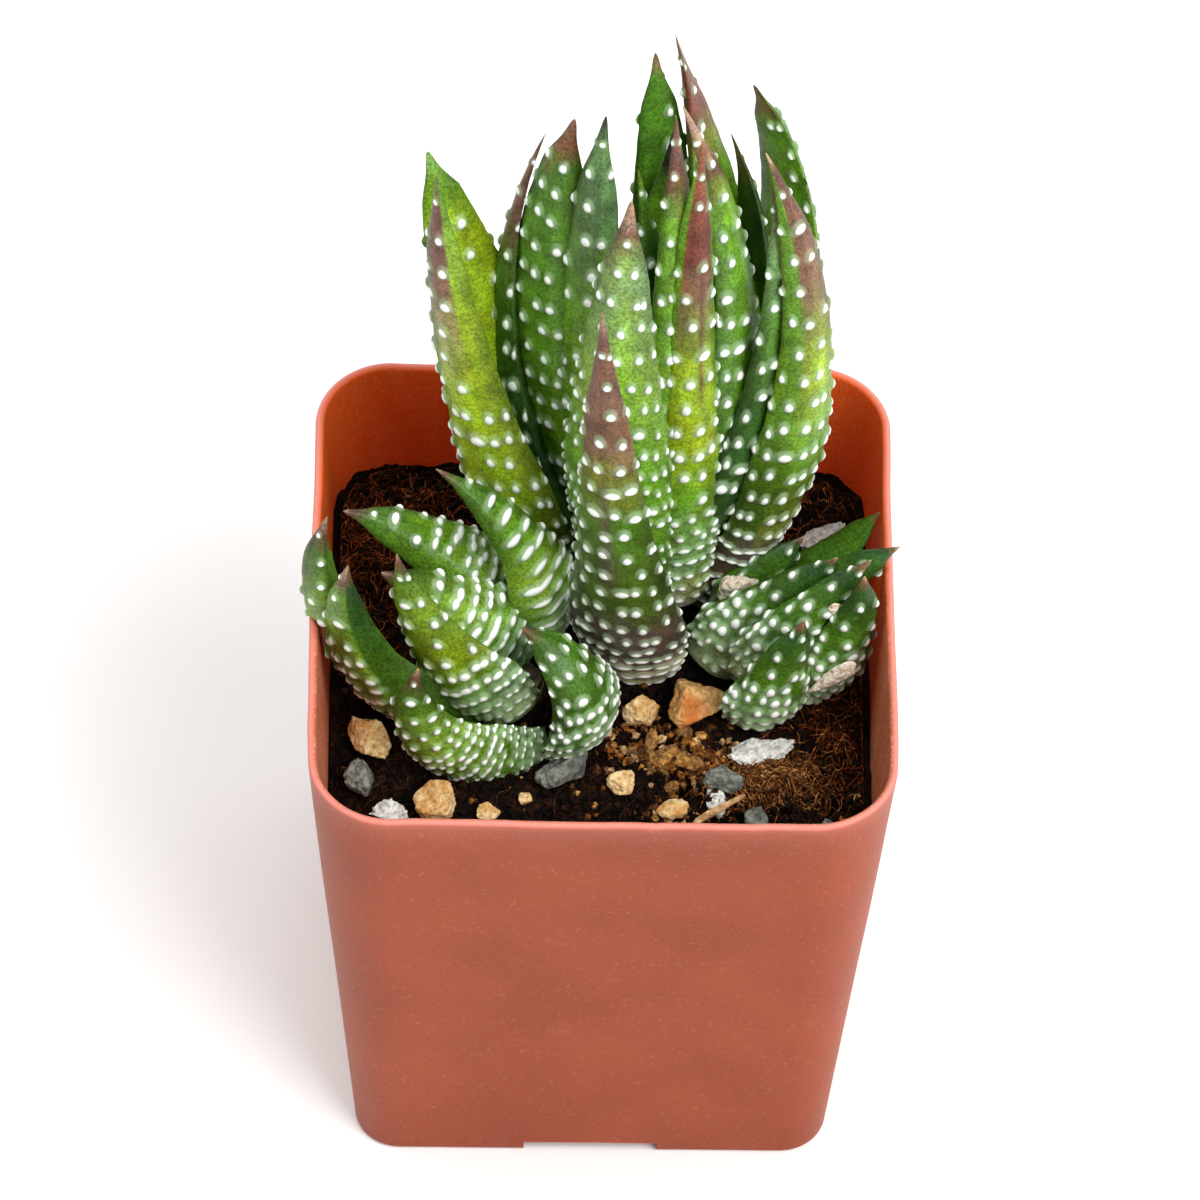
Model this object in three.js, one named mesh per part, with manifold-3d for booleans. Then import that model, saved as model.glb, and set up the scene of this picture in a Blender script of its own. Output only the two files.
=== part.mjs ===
// A potted haworthia: a tall zebra haworthia with two offsets in a small square nursery pot.
// Millimetres, +Z up. The origin is under the middle of the pot, on the surface it stands on.
import * as THREE from 'three';
import { mergeVertices } from 'three/addons/utils/BufferGeometryUtils.js';
import Module from 'manifold-3d';

const wasm = await Module();
wasm.setup();

// ---------------------------------------------------------------- driving dimensions

const GAP = 0.3; // clearance between pieces that touch on the real plant

const POT = {
  height: 60,
  top: { half: 27.5, corner: 7.5 },
  foot: { half: 23, corner: 4.5 },
  wall: 0.8,
  floor: 1.0,
  notchWidth: 13,
  notchHeight: 1.5,
  drainHole: 3,
  drainRing: 17, // distance of the side holes from the middle
  drainSides: 16,
  cornerSteps: 7,
};

const SOIL = {
  level: 47,
  rings: 9,
  roughness: 1.3,
  calm: 2.5, // width of the strip over which the relief fades out beside a plant or a stone
};

const STEM = {
  sides: 12,
  rootDepth: 9,
  rootShare: 0.8, // radius at the bottom, as a share of the radius at the mix
  crownShare: 0.75, // height and radius of the shoulder under the pointed crown
};

// Leaf blades: rings of points from the foot to the tip, each point of the back in one
// of a few columns, and every second point lifted as a tubercle.
const BLADE = {
  footShare: 0.66, // width at the foot, as a share of the greatest width
  taper: 0.62,
  waist: 0.12, // how much slimmer the middle of the taper is
  innerDepth: 0.16, // how far the inner face bulges, as a share of half the width
  backDepth: 0.6, // how far the keeled back stands out
  lastRing: 0.955,
  tubercle: 0.45,
  tubercleFade: 1.6, // tubercles shrink where the width share is under 1 over this
  tipRadius: 0.12,
  cutterRows: 10, // rings of the plainer blade that keeps neighbours clear
  rowCrowding: 1.25, // rows of tubercles stand closer near the foot
};

// Columns round a blade's section: across (-1 to 1) and outward (-1 back, +1 inner face).
const SECTION = [
  { across: 1, out: 0, tubercle: false },
  { across: 0.7, out: -0.72, tubercle: true },
  { across: 0, out: -1, tubercle: true },
  { across: -0.7, out: -0.72, tubercle: true },
  { across: -1, out: 0, tubercle: false },
  { across: 0, out: 1, tubercle: false },
];

/**
 * One leaf: foot [x, y, z] from the middle of its rosette, azimuth it leans to, length,
 * lean from the rosette's axis at foot and at tip, drift of the azimuth towards the tip,
 * greatest width, roll about its own length, and where along it the greatest width lies.
 */
function leaf(foot, azimuth, length, lean, tipLean, drift, width, roll, widest) {
  return { foot, azimuth, length, lean, tipLean, drift, width, roll, widest };
}

const MAIN_LEAVES = [
  leaf([-0.5, -7.5, -1], -105, 59, 22, 4, -5, 11.4, 0, 0.18),
  leaf([6.2, 0, 0.5], 0, 59, 29, -20, 0, 8.6, -55, 0.36),
  leaf([-6.5, -0.5, 0.5], -175, 58, 24, 2, 0, 10.5, 50, 0.3),
  leaf([3.5, -2.5, 3], -35, 59, 0, 3, 0, 8.2, -35, 0.27),
  leaf([-1, -3.5, 4], -110, 53, 18, -14, 0, 10.5, 0, 0.45),
  leaf([2.5, 0.5, 3], 0, 52, 28, -8, 0, 9, -40, 0.3),
  leaf([3, 0.5, 5], 10, 59, 20, -20, 0, 9, -40, 0.35),
  leaf([1.5, -1.5, 6], -35, 58, 4, -2, 0, 8.5, -20, 0.3),
  leaf([-2, 0, 4.5], -170, 58, 10, -6, 0, 9.5, 50, 0.4),
  leaf([-2, 1, 4], 170, 57, 22, -12, 0, 10.5, 70, 0.45),
  leaf([-5, 1, 2], 170, 54, 20, 14, -5, 11, -45, 0.4),
  leaf([-3.2, 1.5, 3], 162, 56, 33, -19, 0, 11.5, 25, 0.4),
  leaf([4, 3, 2.5], 35, 60, 36, -22, -5, 9.5, 20, 0.35),
  leaf([1, -1, 6], -40, 49, 4, -10, 0, 8, 0, 0.3),
  leaf([2.5, 2, 4], 35, 53, 32, -18, 0, 8, 0, 0.35),
  leaf([2.5, 4.5, 3.5], 110, 58, 0, 11, 0, 10, 0, 0.3),
  leaf([5, 1.7, 4], 15, 61, 8, 14, 170, 9.5, 0, 0.35),
  leaf([0, 1.5, 5], 70, 50, -6, 20, -5, 9, 0, 0.3),
  leaf([-3, 4.5, 1.5], 120, 43, 22, -6, 0, 10, 0, 0.3),
  leaf([1.5, 5.5, 1.5], 75, 44, 20, -8, 0, 10, 0, 0.3),
  leaf([-5.5, 3.5, 1], 150, 38, 28, -4, 0, 9.5, 0, 0.3),
  leaf([5, 4.5, 1], 45, 38, 30, -6, 0, 9.5, 0, 0.3),
];

const LEFT_LEAVES = [
  leaf([4.5, -4.5, 0], -35, 16, 38, -80, 5, 10.5, 0, 0.3),
  leaf([2.5, -6.5, 0.5], -160, 24, 90, -16, -5, 9, 80, 0.3),
  leaf([0, -3.5, 2.5], 175, 25, 48, 8, 0, 11, 78, 0.25),
  leaf([-4.5, -4.5, 0], 175, 28, 62, -10, 0, 8.5, 80, 0.35),
  leaf([-8.2, -2, 0.5], 176, 31, 53, -14, 0, 6.8, 75, 0.35),
  leaf([2.5, 4.5, 2.5], 165, 26, -8, 60, 0, 8, 150, 0.35),
  leaf([1, 5, 3], 165, 23, 28, 80, 5, 9, 158, 0.35),
  leaf([0, 1.5, 3.5], -170, 21, 34, 44, 5, 9.5, 122, 0.3),
];

const RIGHT_LEAVES = [
  leaf([0, -6.5, 0.5], 5, 15, 16, 18, 0, 9, -76, 0.25),
  leaf([-4, -0.5, 1], 10, 18, 40, 42, 0, 10, -106, 0.28),
  leaf([4, -4, 1], 10, 18, 40, 0, 0, 8, -85, 0.3),
  leaf([0, -3.5, 3], 15, 18, 28, 48, 0, 8.5, -95, 0.3),
  leaf([1.5, 2, 2.5], 0, 18, 30, 54, 0, 8, -100, 0.25),
  leaf([1.5, 4.5, 2], 25, 15, 56, 44, 0, 7, 0, 0.3),
  leaf([-2.5, 5, 1.5], 25, 11, 38, 56, 0, 7, -100, 0.3),
];

// Each rosette stands on its own short stem. `calm` is the radius of flat mix round it.
const ROSETTES = [
  {
    name: 'main', at: [4, 9], lean: 8, towards: 95, rows: 18,
    stem: { radius: 3.8, top: 6 }, calm: { at: [4, 8], radius: 12 }, leaves: MAIN_LEAVES,
  },
  {
    name: 'left', at: [-8, -2], lean: 0, towards: 0, rows: 13,
    stem: { radius: 3, top: 2.6 }, calm: { at: [-13, -4], radius: 13 }, leaves: LEFT_LEAVES,
  },
  {
    name: 'right', at: [14.5, 1.5], lean: 0, towards: 0, rows: 12,
    stem: { radius: 2.8, top: 2.4 }, calm: { at: [18, 2], radius: 9 }, leaves: RIGHT_LEAVES,
  },
];

// Loose stones and flakes on the mix: place [x, y], size [x, y, z] and turn.
const STONES = [
  { kind: 'pumice', at: [8.8, -4.6], size: [6.2, 5.4, 4.2], turn: 20 },
  { kind: 'pumice', at: [4.0, -5.2], size: [3.6, 3.4, 2.8], turn: 80 },
  { kind: 'pumice', at: [-21.6, -9.2], size: [3.9, 5.6, 3.4], turn: 15 },
  { kind: 'pumice', at: [-15.2, -16.2], size: [4.2, 4.0, 3.0], turn: 40 },
  { kind: 'pumice', at: [2.2, -13.4], size: [2.8, 2.6, 2.0], turn: 0 },
  { kind: 'pumice', at: [6.6, -16.6], size: [3.0, 2.0, 1.8], turn: 10 },
  { kind: 'grit', at: [-22.6, -13.4], size: [3.0, 3.4, 2.4], turn: 0 },
  { kind: 'grit', at: [-3.4, -12.0], size: [5.6, 4.2, 2.2], turn: 25 },
  { kind: 'grit', at: [11.6, -12.8], size: [3.2, 3.6, 2.0], turn: 60 },
  { kind: 'flake', at: [15.0, -9.4], size: [7.0, 3.6, 1.4], turn: 12 },
  { kind: 'flake', at: [21.6, 15.4], size: [5.0, 4.0, 1.6], turn: 30 },
  { kind: 'flake', at: [-19.8, -17.6], size: [2.6, 3.6, 1.6], turn: 70 },
];
const STONE = {
  roughness: 0.08,
  seat: 0.3, // height of a stone's middle over the mix, as a share of its own height
};

// ---------------------------------------------------------------- materials

function finish(color, roughness) {
  return new THREE.MeshStandardMaterial({ color, roughness, metalness: 0, flatShading: true });
}

const MATERIALS = {
  pot: finish('#b0603f', 0.5),
  mix: finish('#2a1a12', 1),
  stem: finish('#8c7a5e', 0.9),
  mainLeaf: finish('#5b8f22', 0.45),
  offsetLeaf: finish('#2f6f30', 0.45),
  pumice: finish('#d3a468', 0.9),
  grit: finish('#83857d', 0.85),
  flake: finish('#d2d0c8', 0.7),
};

// ---------------------------------------------------------------- solids and meshes

const rad = THREE.MathUtils.degToRad;

/** A closed three.js geometry as a solid that can be joined and cut. */
function toSolid(geometry) {
  const plain = geometry.clone();
  plain.deleteAttribute('normal');
  plain.deleteAttribute('uv');
  const merged = mergeVertices(plain, 1e-4);
  return new wasm.Manifold(new wasm.Mesh({
    numProp: 3,
    vertProperties: new Float32Array(merged.attributes.position.array),
    triVerts: new Uint32Array(merged.index.array),
  }));
}

/** A solid back as a three.js geometry. */
function toGeometry(solid) {
  const mesh = solid.getMesh();
  const geometry = new THREE.BufferGeometry();
  geometry.setAttribute('position', new THREE.BufferAttribute(mesh.vertProperties, 3));
  geometry.setIndex(new THREE.BufferAttribute(mesh.triVerts, 1));
  geometry.computeVertexNormals();
  return geometry;
}

/** The largest body of a solid, without the scraps that a cut can leave. */
function largestBody(solid) {
  const bodies = solid.decompose();
  return bodies.reduce((big, body) => (body.volume() > big.volume() ? body : big));
}

function namedMesh(name, geometry, material) {
  const mesh = new THREE.Mesh(geometry, material);
  mesh.name = name;
  return mesh;
}

/** A closed skin over rings of points that all run the same way round, with flat ends. */
function loft(rings) {
  const sides = rings[0].length;
  const points = rings.flat();
  const bottom = points.length;
  const middle = (ring) => ring.reduce((sum, p) => sum.clone().add(p), new THREE.Vector3())
    .divideScalar(sides);
  points.push(middle(rings[0]), middle(rings[rings.length - 1]));
  const index = [];
  for (let i = 0; i < rings.length - 1; i += 1) {
    for (let j = 0; j < sides; j += 1) {
      const a = i * sides + j;
      const b = i * sides + (j + 1) % sides;
      index.push(a, b, b + sides, a, b + sides, a + sides);
    }
  }
  const last = (rings.length - 1) * sides;
  for (let j = 0; j < sides; j += 1) {
    const next = (j + 1) % sides;
    index.push(bottom, next, j, bottom + 1, last + j, last + next);
  }
  const geometry = new THREE.BufferGeometry().setFromPoints(points);
  geometry.setIndex(index);
  return geometry;
}

// ---------------------------------------------------------------- pot

/** A rounded square, anticlockwise, at height z. */
function roundedSquare(half, corner, z) {
  const ring = [];
  for (let quarter = 0; quarter < 4; quarter += 1) {
    const centre = new THREE.Vector2(half - corner, half - corner)
      .rotateAround(new THREE.Vector2(), rad(90 * quarter));
    for (let step = 0; step <= POT.cornerSteps; step += 1) {
      const angle = rad(90 * (quarter + step / POT.cornerSteps));
      ring.push(new THREE.Vector3(
        centre.x + corner * Math.cos(angle),
        centre.y + corner * Math.sin(angle),
        z,
      ));
    }
  }
  return ring;
}

/** The pot's outline at height z, moved inwards by `inset`. */
function potRing(z, inset) {
  const share = z / POT.height;
  const half = THREE.MathUtils.lerp(POT.foot.half, POT.top.half, share) - inset;
  const corner = THREE.MathUtils.lerp(POT.foot.corner, POT.top.corner, share) - inset;
  return roundedSquare(half, corner, z);
}

function cylinder(radius, z0, z1, sides, x = 0, y = 0) {
  const geometry = new THREE.CylinderGeometry(radius, radius, z1 - z0, sides);
  geometry.rotateX(Math.PI / 2);
  geometry.translate(x, y, (z0 + z1) / 2);
  return geometry;
}

const floorTop = POT.notchHeight + POT.floor;

/** The pot's wall above the floor with clearance on both faces and over the rim. */
function grownWall() {
  const top = POT.height + GAP;
  const outside = loft([potRing(0, -GAP), potRing(top, -GAP)]);
  const inside = loft([potRing(floorTop, POT.wall + GAP), potRing(top + 1, POT.wall + GAP)]);
  return toSolid(outside).subtract(toSolid(inside));
}

/** Tapered pot with a plain rim, standing on four corner pads between its notches. */
function pot() {
  const rimRound = POT.wall / 4;
  const outside = loft([
    potRing(0, 0),
    potRing(POT.height - rimRound, 0),
    potRing(POT.height, rimRound),
  ]);
  const inside = loft([potRing(floorTop, POT.wall), potRing(POT.height + 1, POT.wall)]);
  let solid = toSolid(outside).subtract(toSolid(inside));
  const span = 2 * POT.top.half;
  for (const size of [[POT.notchWidth, span], [span, POT.notchWidth]]) {
    const channel = new THREE.BoxGeometry(size[0], size[1], 2 * POT.notchHeight);
    solid = solid.subtract(toSolid(channel));
  }
  const holes = [[0, 0]];
  for (let side = 0; side < 4; side += 1) {
    const angle = rad(90 * side);
    holes.push([POT.drainRing * Math.cos(angle), POT.drainRing * Math.sin(angle)]);
  }
  for (const [x, y] of holes) {
    solid = solid.subtract(toSolid(cylinder(POT.drainHole, -1, floorTop + 1, POT.drainSides, x, y)));
  }
  return toGeometry(solid);
}

// ---------------------------------------------------------------- stems

/** A stem's outline grown by `grow`, about the rosette's own axis. */
function stemGeometry({ radius, top }, grow) {
  const bottom = -STEM.rootDepth - grow;
  const profile = [
    new THREE.Vector2(0, bottom),
    new THREE.Vector2(radius * STEM.rootShare + grow, bottom),
    new THREE.Vector2(radius + grow, 0),
    new THREE.Vector2(radius * STEM.crownShare + grow, top * STEM.crownShare),
    new THREE.Vector2(0, top + grow),
  ];
  const geometry = new THREE.LatheGeometry(profile, STEM.sides);
  geometry.rotateX(Math.PI / 2);
  return geometry;
}

/** The group that a rosette is built in: its middle at soil level, tipped the way it leans. */
function rosetteGroup({ at, lean, towards }) {
  const group = new THREE.Group();
  group.position.set(at[0], at[1], SOIL.level);
  const axis = new THREE.Vector3(-Math.sin(rad(towards)), Math.cos(rad(towards)), 0);
  group.quaternion.setFromAxisAngle(axis, rad(lean));
  group.updateMatrixWorld();
  return group;
}

// ---------------------------------------------------------------- leaves

/** Half the width along a leaf as a share of the greatest: s is 0 at the foot, 1 at the tip. */
function widthShare(s, widest) {
  if (s < widest) {
    const swell = Math.sin((s / widest) * Math.PI / 2);
    return BLADE.footShare + (1 - BLADE.footShare) * swell;
  }
  const t = (s - widest) / (1 - widest);
  return (1 - t) ** BLADE.taper * (1 - BLADE.waist * Math.sin(Math.PI * t));
}

/** Direction, inner normal and side of a leaf at s. */
function leafFrame({ azimuth, lean, tipLean, drift, roll }, s) {
  const a = rad(azimuth + drift * s);
  const tilt = rad(THREE.MathUtils.lerp(lean, tipLean, s));
  const along = new THREE.Vector3(
    Math.sin(tilt) * Math.cos(a),
    Math.sin(tilt) * Math.sin(a),
    Math.cos(tilt),
  );
  const inner = new THREE.Vector3(
    -Math.cos(tilt) * Math.cos(a),
    -Math.cos(tilt) * Math.sin(a),
    Math.sin(tilt),
  );
  inner.applyAxisAngle(along, rad(roll));
  return { along, inner, side: along.clone().cross(inner) };
}

/**
 * A leaf blade in its rosette's own frame. `grow` thickens it all round, and with
 * tubercles off every point of the back is lifted, which gives the form that cuts a
 * neighbour clear of it.
 */
function bladeGeometry(blade, rows, { grow = 0, tubercles = true } = {}) {
  const { length } = blade;
  const centre = new THREE.Vector3(...blade.foot);
  const rings = [];
  let previous = 0;
  for (let row = 0; row <= rows; row += 1) {
    const s = BLADE.lastRing * (row / rows) ** BLADE.rowCrowding;
    centre.addScaledVector(leafFrame(blade, (s + previous) / 2).along, (s - previous) * length);
    previous = s;
    const { inner, side } = leafFrame(blade, s);
    const share = widthShare(s, blade.widest);
    const half = (blade.width / 2) * share;
    rings.push(SECTION.map(({ across, out, tubercle }, column) => {
      const raised = tubercle && (!tubercles || (row + column) % 2 === 0);
      const bump = raised ? BLADE.tubercle * Math.min(1, BLADE.tubercleFade * share) : 0;
      const lift = bump + grow;
      const depth = out * (out > 0 ? BLADE.innerDepth : BLADE.backDepth) * half;
      return centre.clone()
        .addScaledVector(side, across * (half + lift))
        .addScaledVector(inner, depth + out * lift);
    }));
  }
  const { along, inner, side } = leafFrame(blade, 1);
  const tip = centre.clone().addScaledVector(along, (1 - previous) * length + grow);
  const point = BLADE.tipRadius + grow;
  rings.push(SECTION.map(({ across, out }) => tip.clone()
    .addScaledVector(side, across * point)
    .addScaledVector(inner, out * point)));
  return loft(rings);
}

// ---------------------------------------------------------------- potting mix and stones

/** 0 on a plant's or a stone's flat patch, rising to 1 away from it. */
function roughShare(x, y) {
  const patches = [
    ...ROSETTES.map(({ calm }) => [calm.at, calm.radius]),
    ...STONES.map(({ at, size }) => [at, Math.max(size[0], size[1]) / 2]),
  ];
  return Math.min(...patches.map(([at, radius]) => THREE.MathUtils.smoothstep(
    Math.hypot(x - at[0], y - at[1]), radius, radius + SOIL.calm,
  )));
}

/** Height of the mix: crumbly hollows below the level that the plants stand at. */
function soilHeight(x, y) {
  const waves = Math.sin(1.3 * x + 0.7 * y) + Math.sin(0.9 * y - 1.7 * x + 2)
    + Math.sin(2.1 * y + 0.4 * x);
  const hollow = 0.5 + waves / 6; // 0 to 1, as there are three waves
  return SOIL.level - SOIL.roughness * roughShare(x, y) * hollow;
}

function pottingMix(stems) {
  const inset = POT.wall + GAP;
  const bottom = floorTop + GAP;
  const wallRing = potRing(SOIL.level, inset);
  const rings = [potRing(bottom, inset)];
  for (let k = 0; k < SOIL.rings; k += 1) {
    const share = 1 - k / SOIL.rings;
    rings.push(wallRing.map((p) => {
      const x = p.x * share;
      const y = p.y * share;
      return new THREE.Vector3(x, y, soilHeight(x, y));
    }));
  }
  return toGeometry(stems.reduce((mix, stem) => mix.subtract(stem), toSolid(loft(rings))));
}

/** A weathered stone, flattened where it lies on the mix. */
function stone({ at, size, turn }, number) {
  const geometry = new THREE.IcosahedronGeometry(0.5, 1);
  const position = geometry.attributes.position;
  const point = new THREE.Vector3();
  for (let i = 0; i < position.count; i += 1) {
    point.fromBufferAttribute(position, i);
    const knob = Math.sin(7 * point.x + number) + Math.sin(9 * point.y + 2 * number)
      + Math.sin(8 * point.z - number);
    point.multiplyScalar(1 + STONE.roughness * knob);
    position.setXYZ(i, point.x, point.y, point.z);
  }
  geometry.scale(...size);
  geometry.rotateZ(rad(turn));
  geometry.translate(at[0], at[1], SOIL.level + GAP + STONE.seat * size[2]);
  return toSolid(geometry).subtract(belowMix);
}

// ---------------------------------------------------------------- the potted plant

const belowMix = toSolid(cylinder(POT.top.half * 2, 0, SOIL.level + GAP, 24));
const plant = new THREE.Group();
const stemHoles = [];
const kept = [grownWall()]; // solids with clearance that later pieces are cut clear of
const pad2 = (n) => String(n).padStart(2, '0');

plant.add(namedMesh('pot', pot(), MATERIALS.pot));

const groups = ROSETTES.map(rosetteGroup);
ROSETTES.forEach(({ name, stem }, i) => {
  const { matrixWorld } = groups[i];
  const grown = toSolid(stemGeometry(stem, GAP)).transform(matrixWorld.elements);
  stemHoles.push(grown);
  kept.push(grown);
  groups[i].add(namedMesh(`${name}_stem`, stemGeometry(stem, 0), MATERIALS.stem));
  plant.add(groups[i]);
});

ROSETTES.forEach(({ name, rows, leaves }, i) => {
  const { matrixWorld } = groups[i];
  const back = matrixWorld.clone().invert();
  leaves.forEach((blade, number) => {
    let solid = toSolid(bladeGeometry(blade, rows)).transform(matrixWorld.elements);
    for (const cutter of kept) solid = solid.subtract(cutter);
    solid = largestBody(solid.subtract(belowMix));
    const cutter = bladeGeometry(blade, BLADE.cutterRows, { grow: GAP, tubercles: false });
    kept.push(toSolid(cutter).transform(matrixWorld.elements));
    const geometry = toGeometry(solid.transform(back.elements));
    const material = name === 'main' ? MATERIALS.mainLeaf : MATERIALS.offsetLeaf;
    groups[i].add(namedMesh(`${name}_leaf_${pad2(number + 1)}`, geometry, material));
  });
});

const counts = {};
STONES.forEach((row, number) => {
  const { kind } = row;
  counts[kind] = (counts[kind] ?? 0) + 1;
  let solid = stone(row, number);
  for (const cutter of kept) solid = solid.subtract(cutter);
  const geometry = toGeometry(largestBody(solid));
  plant.add(namedMesh(`${kind}_${pad2(counts[kind])}`, geometry, MATERIALS[kind]));
});

plant.add(namedMesh('potting_mix', pottingMix(stemHoles), MATERIALS.mix));

export default plant;
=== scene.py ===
# %% [markdown]
# # A potted haworthia
#
# A zebra haworthia is a small succulent. Its thick pointed leaves stand in rosettes, and
# the back of each leaf carries rows of raised white tubercles. This plant has one tall
# rosette and two young offsets at its foot, in a thin square nursery pot.
#
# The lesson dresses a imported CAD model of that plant. The CAD solids fix where every leaf,
# stone and wall is. Here each of them is worked out again on a much finer grid, with the
# relief and the colours that a plain solid leaves out.

import itertools
import math

import bpy
import numpy as np
from mathutils import Matrix, Vector


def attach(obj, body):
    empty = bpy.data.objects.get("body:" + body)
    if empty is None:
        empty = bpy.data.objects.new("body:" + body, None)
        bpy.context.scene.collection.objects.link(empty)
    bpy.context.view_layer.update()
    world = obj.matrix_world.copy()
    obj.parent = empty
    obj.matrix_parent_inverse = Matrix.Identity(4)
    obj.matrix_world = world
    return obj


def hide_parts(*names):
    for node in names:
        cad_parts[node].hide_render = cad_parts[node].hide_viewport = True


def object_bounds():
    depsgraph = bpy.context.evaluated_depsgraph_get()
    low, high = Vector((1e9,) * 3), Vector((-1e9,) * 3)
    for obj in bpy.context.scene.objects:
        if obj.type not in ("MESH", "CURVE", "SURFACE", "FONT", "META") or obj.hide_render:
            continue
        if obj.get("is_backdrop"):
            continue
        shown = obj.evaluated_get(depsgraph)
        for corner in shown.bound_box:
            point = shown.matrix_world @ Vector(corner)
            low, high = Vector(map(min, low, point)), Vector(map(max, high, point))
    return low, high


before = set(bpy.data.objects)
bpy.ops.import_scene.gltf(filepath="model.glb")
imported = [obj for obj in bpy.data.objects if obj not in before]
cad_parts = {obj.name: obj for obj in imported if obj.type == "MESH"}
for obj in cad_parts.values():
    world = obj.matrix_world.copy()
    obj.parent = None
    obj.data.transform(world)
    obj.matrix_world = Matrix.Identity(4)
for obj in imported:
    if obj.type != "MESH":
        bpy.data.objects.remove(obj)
cad_low, cad_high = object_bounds()
print("CAD box in metres:", [round(v, 4) for v in cad_low], [round(v, 4) for v in cad_high])

MM = 0.001  # the lesson works in millimetres, and Blender in metres

# %% [markdown]
# ## The camera
#
# The photograph looks down on the pot at about 53 degrees from a distance of some 0.9 m,
# with a long lens, so the pot's sides hardly converge. The camera could be placed by eye,
# but its place was solved from the pot's own corners, so the same numbers are set here:
# a target point, a distance, two angles and a small roll.

# %% Camera
AZIMUTH, ELEVATION, ROLL = (math.radians(v) for v in (-1.75, 52.55, 2.06))
DISTANCE = 900  # mm from the target
TARGET = np.array([-0.25, 0.0, 58.55])
FRAME_PIXELS = 1200  # width and height of the photograph's frame
LENS_PIXELS = 9530  # focal length in pixels of that frame
SENSOR_WIDTH = 36  # mm
NEAREST, FURTHEST = 0.05, 20  # metres between which the camera sees

away = np.array([
    math.sin(AZIMUTH) * math.cos(ELEVATION),
    -math.cos(AZIMUTH) * math.cos(ELEVATION),
    math.sin(ELEVATION),
])
level_right = np.cross([0, 0, 1], away)
level_right /= np.linalg.norm(level_right)
level_up = np.cross(away, level_right)
camera_right = math.cos(ROLL) * level_right + math.sin(ROLL) * level_up
camera_up = math.cos(ROLL) * level_up - math.sin(ROLL) * level_right

camera_data = bpy.data.cameras.new("camera")
camera_data.sensor_width = SENSOR_WIDTH
camera_data.lens = LENS_PIXELS / FRAME_PIXELS * SENSOR_WIDTH
camera_data.clip_start, camera_data.clip_end = NEAREST, FURTHEST
camera = bpy.data.objects.new("camera", camera_data)
bpy.context.scene.collection.objects.link(camera)
bpy.context.scene.camera = camera
pose = np.eye(4)
pose[:3, 0], pose[:3, 1], pose[:3, 2] = camera_right, camera_up, away
pose[:3, 3] = (TARGET + DISTANCE * away) * MM
camera.matrix_world = Matrix(pose.tolist())
print("camera at", [round(float(v), 3) for v in camera.matrix_world.translation],
      "with a lens of", round(camera_data.lens, 1), "mm")

# %% [markdown]
# ## Colour, noise and nodes
#
# Colours are written the way a paint program shows them, as sRGB hex values. Shaders
# reckon in linear light, so one function turns hex to linear.
#
# Natural surfaces need irregularity that is the same on every run. Value noise gives it:
# random numbers on a lattice, blended smoothly in between. It is worked out for a whole
# array of points at once. One more helper adds a shader node with its settings and links.
# A noise node's scale is one over the size of its cells in metres.


# %% Helpers for colour and noise
NOISE_CELLS = 32  # the lattice repeats after this many cells
OCTAVE_SHIFT = 7.3  # sets each octave off, so that their lattices don't line up


def linear(hex_colour):
    """An sRGB hex colour as linear RGB.

    A channel v becomes v / 12.92 up to 0.04045, and ((v + 0.055) / 1.055) ** 2.4 above it.
    """
    v = np.array([int(hex_colour[i:i + 2], 16) for i in (1, 3, 5)]) / 255
    return np.where(v <= 0.04045, v / 12.92, ((v + 0.055) / 1.055) ** 2.4)


def smooth(low, high, v):
    """0 below low, 1 above high, and 3t² − 2t³ between them."""
    t = np.clip((v - low) / (high - low), 0, 1)
    return t * t * (3 - 2 * t)


def value_noise(points, seed):
    """Noise from -1 to 1: lattice values blended over each cell with 3t² − 2t³ on every axis."""
    table = np.random.default_rng(seed).uniform(-1, 1, [NOISE_CELLS] * 3)
    cell = np.floor(points).astype(int)
    t = points - cell
    t = t * t * (3 - 2 * t)
    total = np.zeros(points.shape[:-1])
    for corner in itertools.product((0, 1), repeat=3):
        weight = np.prod(np.where(corner, t, 1 - t), axis=-1)
        i, j, k = np.moveaxis((cell + corner) % NOISE_CELLS, -1, 0)
        total += weight * table[i, j, k]
    return total


def fractal(points, seed, octaves=4, fade=0.5):
    """Several octaves of value noise: each has twice the frequency and `fade` times the height."""
    points = np.asarray(points, float)
    return sum(fade ** k * value_noise(points * 2 ** k + OCTAVE_SHIFT * k, seed + k)
               for k in range(octaves))


# %% Helpers for nodes
# A Mix node's sockets are told by number, because its number, vector and colour sockets
# share their names.
FACTOR, COLOUR_A, COLOUR_B, MIXED = 0, 6, 7, 2


def add(tree, kind, inputs=None, **settings):
    """Adds one node: its own settings, and inputs that are values or other nodes' sockets."""
    node = tree.nodes.new(kind)
    for key, value in settings.items():
        setattr(node, key, value)
    for key, value in (inputs or {}).items():
        if isinstance(value, bpy.types.NodeSocket):
            tree.links.new(value, node.inputs[key])
        elif isinstance(value, np.ndarray):
            node.inputs[key].default_value = (*value, 1)
        else:
            node.inputs[key].default_value = value
    return node


def new_material(name, finish):
    """A material whose Principled surface has the values of `finish`, its tree and its surface."""
    material = bpy.data.materials.new(name)
    material.use_nodes = True
    surface = material.node_tree.nodes["Principled BSDF"]
    for key, value in finish.items():
        surface.inputs[key].default_value = value
    return material, material.node_tree, surface


# %% [markdown]
# ## From arrays to pieces
#
# Every new piece is a grid of points worked out by a formula. One function turns a grid
# into faces, closing it round its columns and capping its two ends with a fan, so each
# piece is a closed skin whose faces point outwards. A second function writes the arrays
# into a mesh and tells the frame which body the piece rides on and what it stands for.


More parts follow.
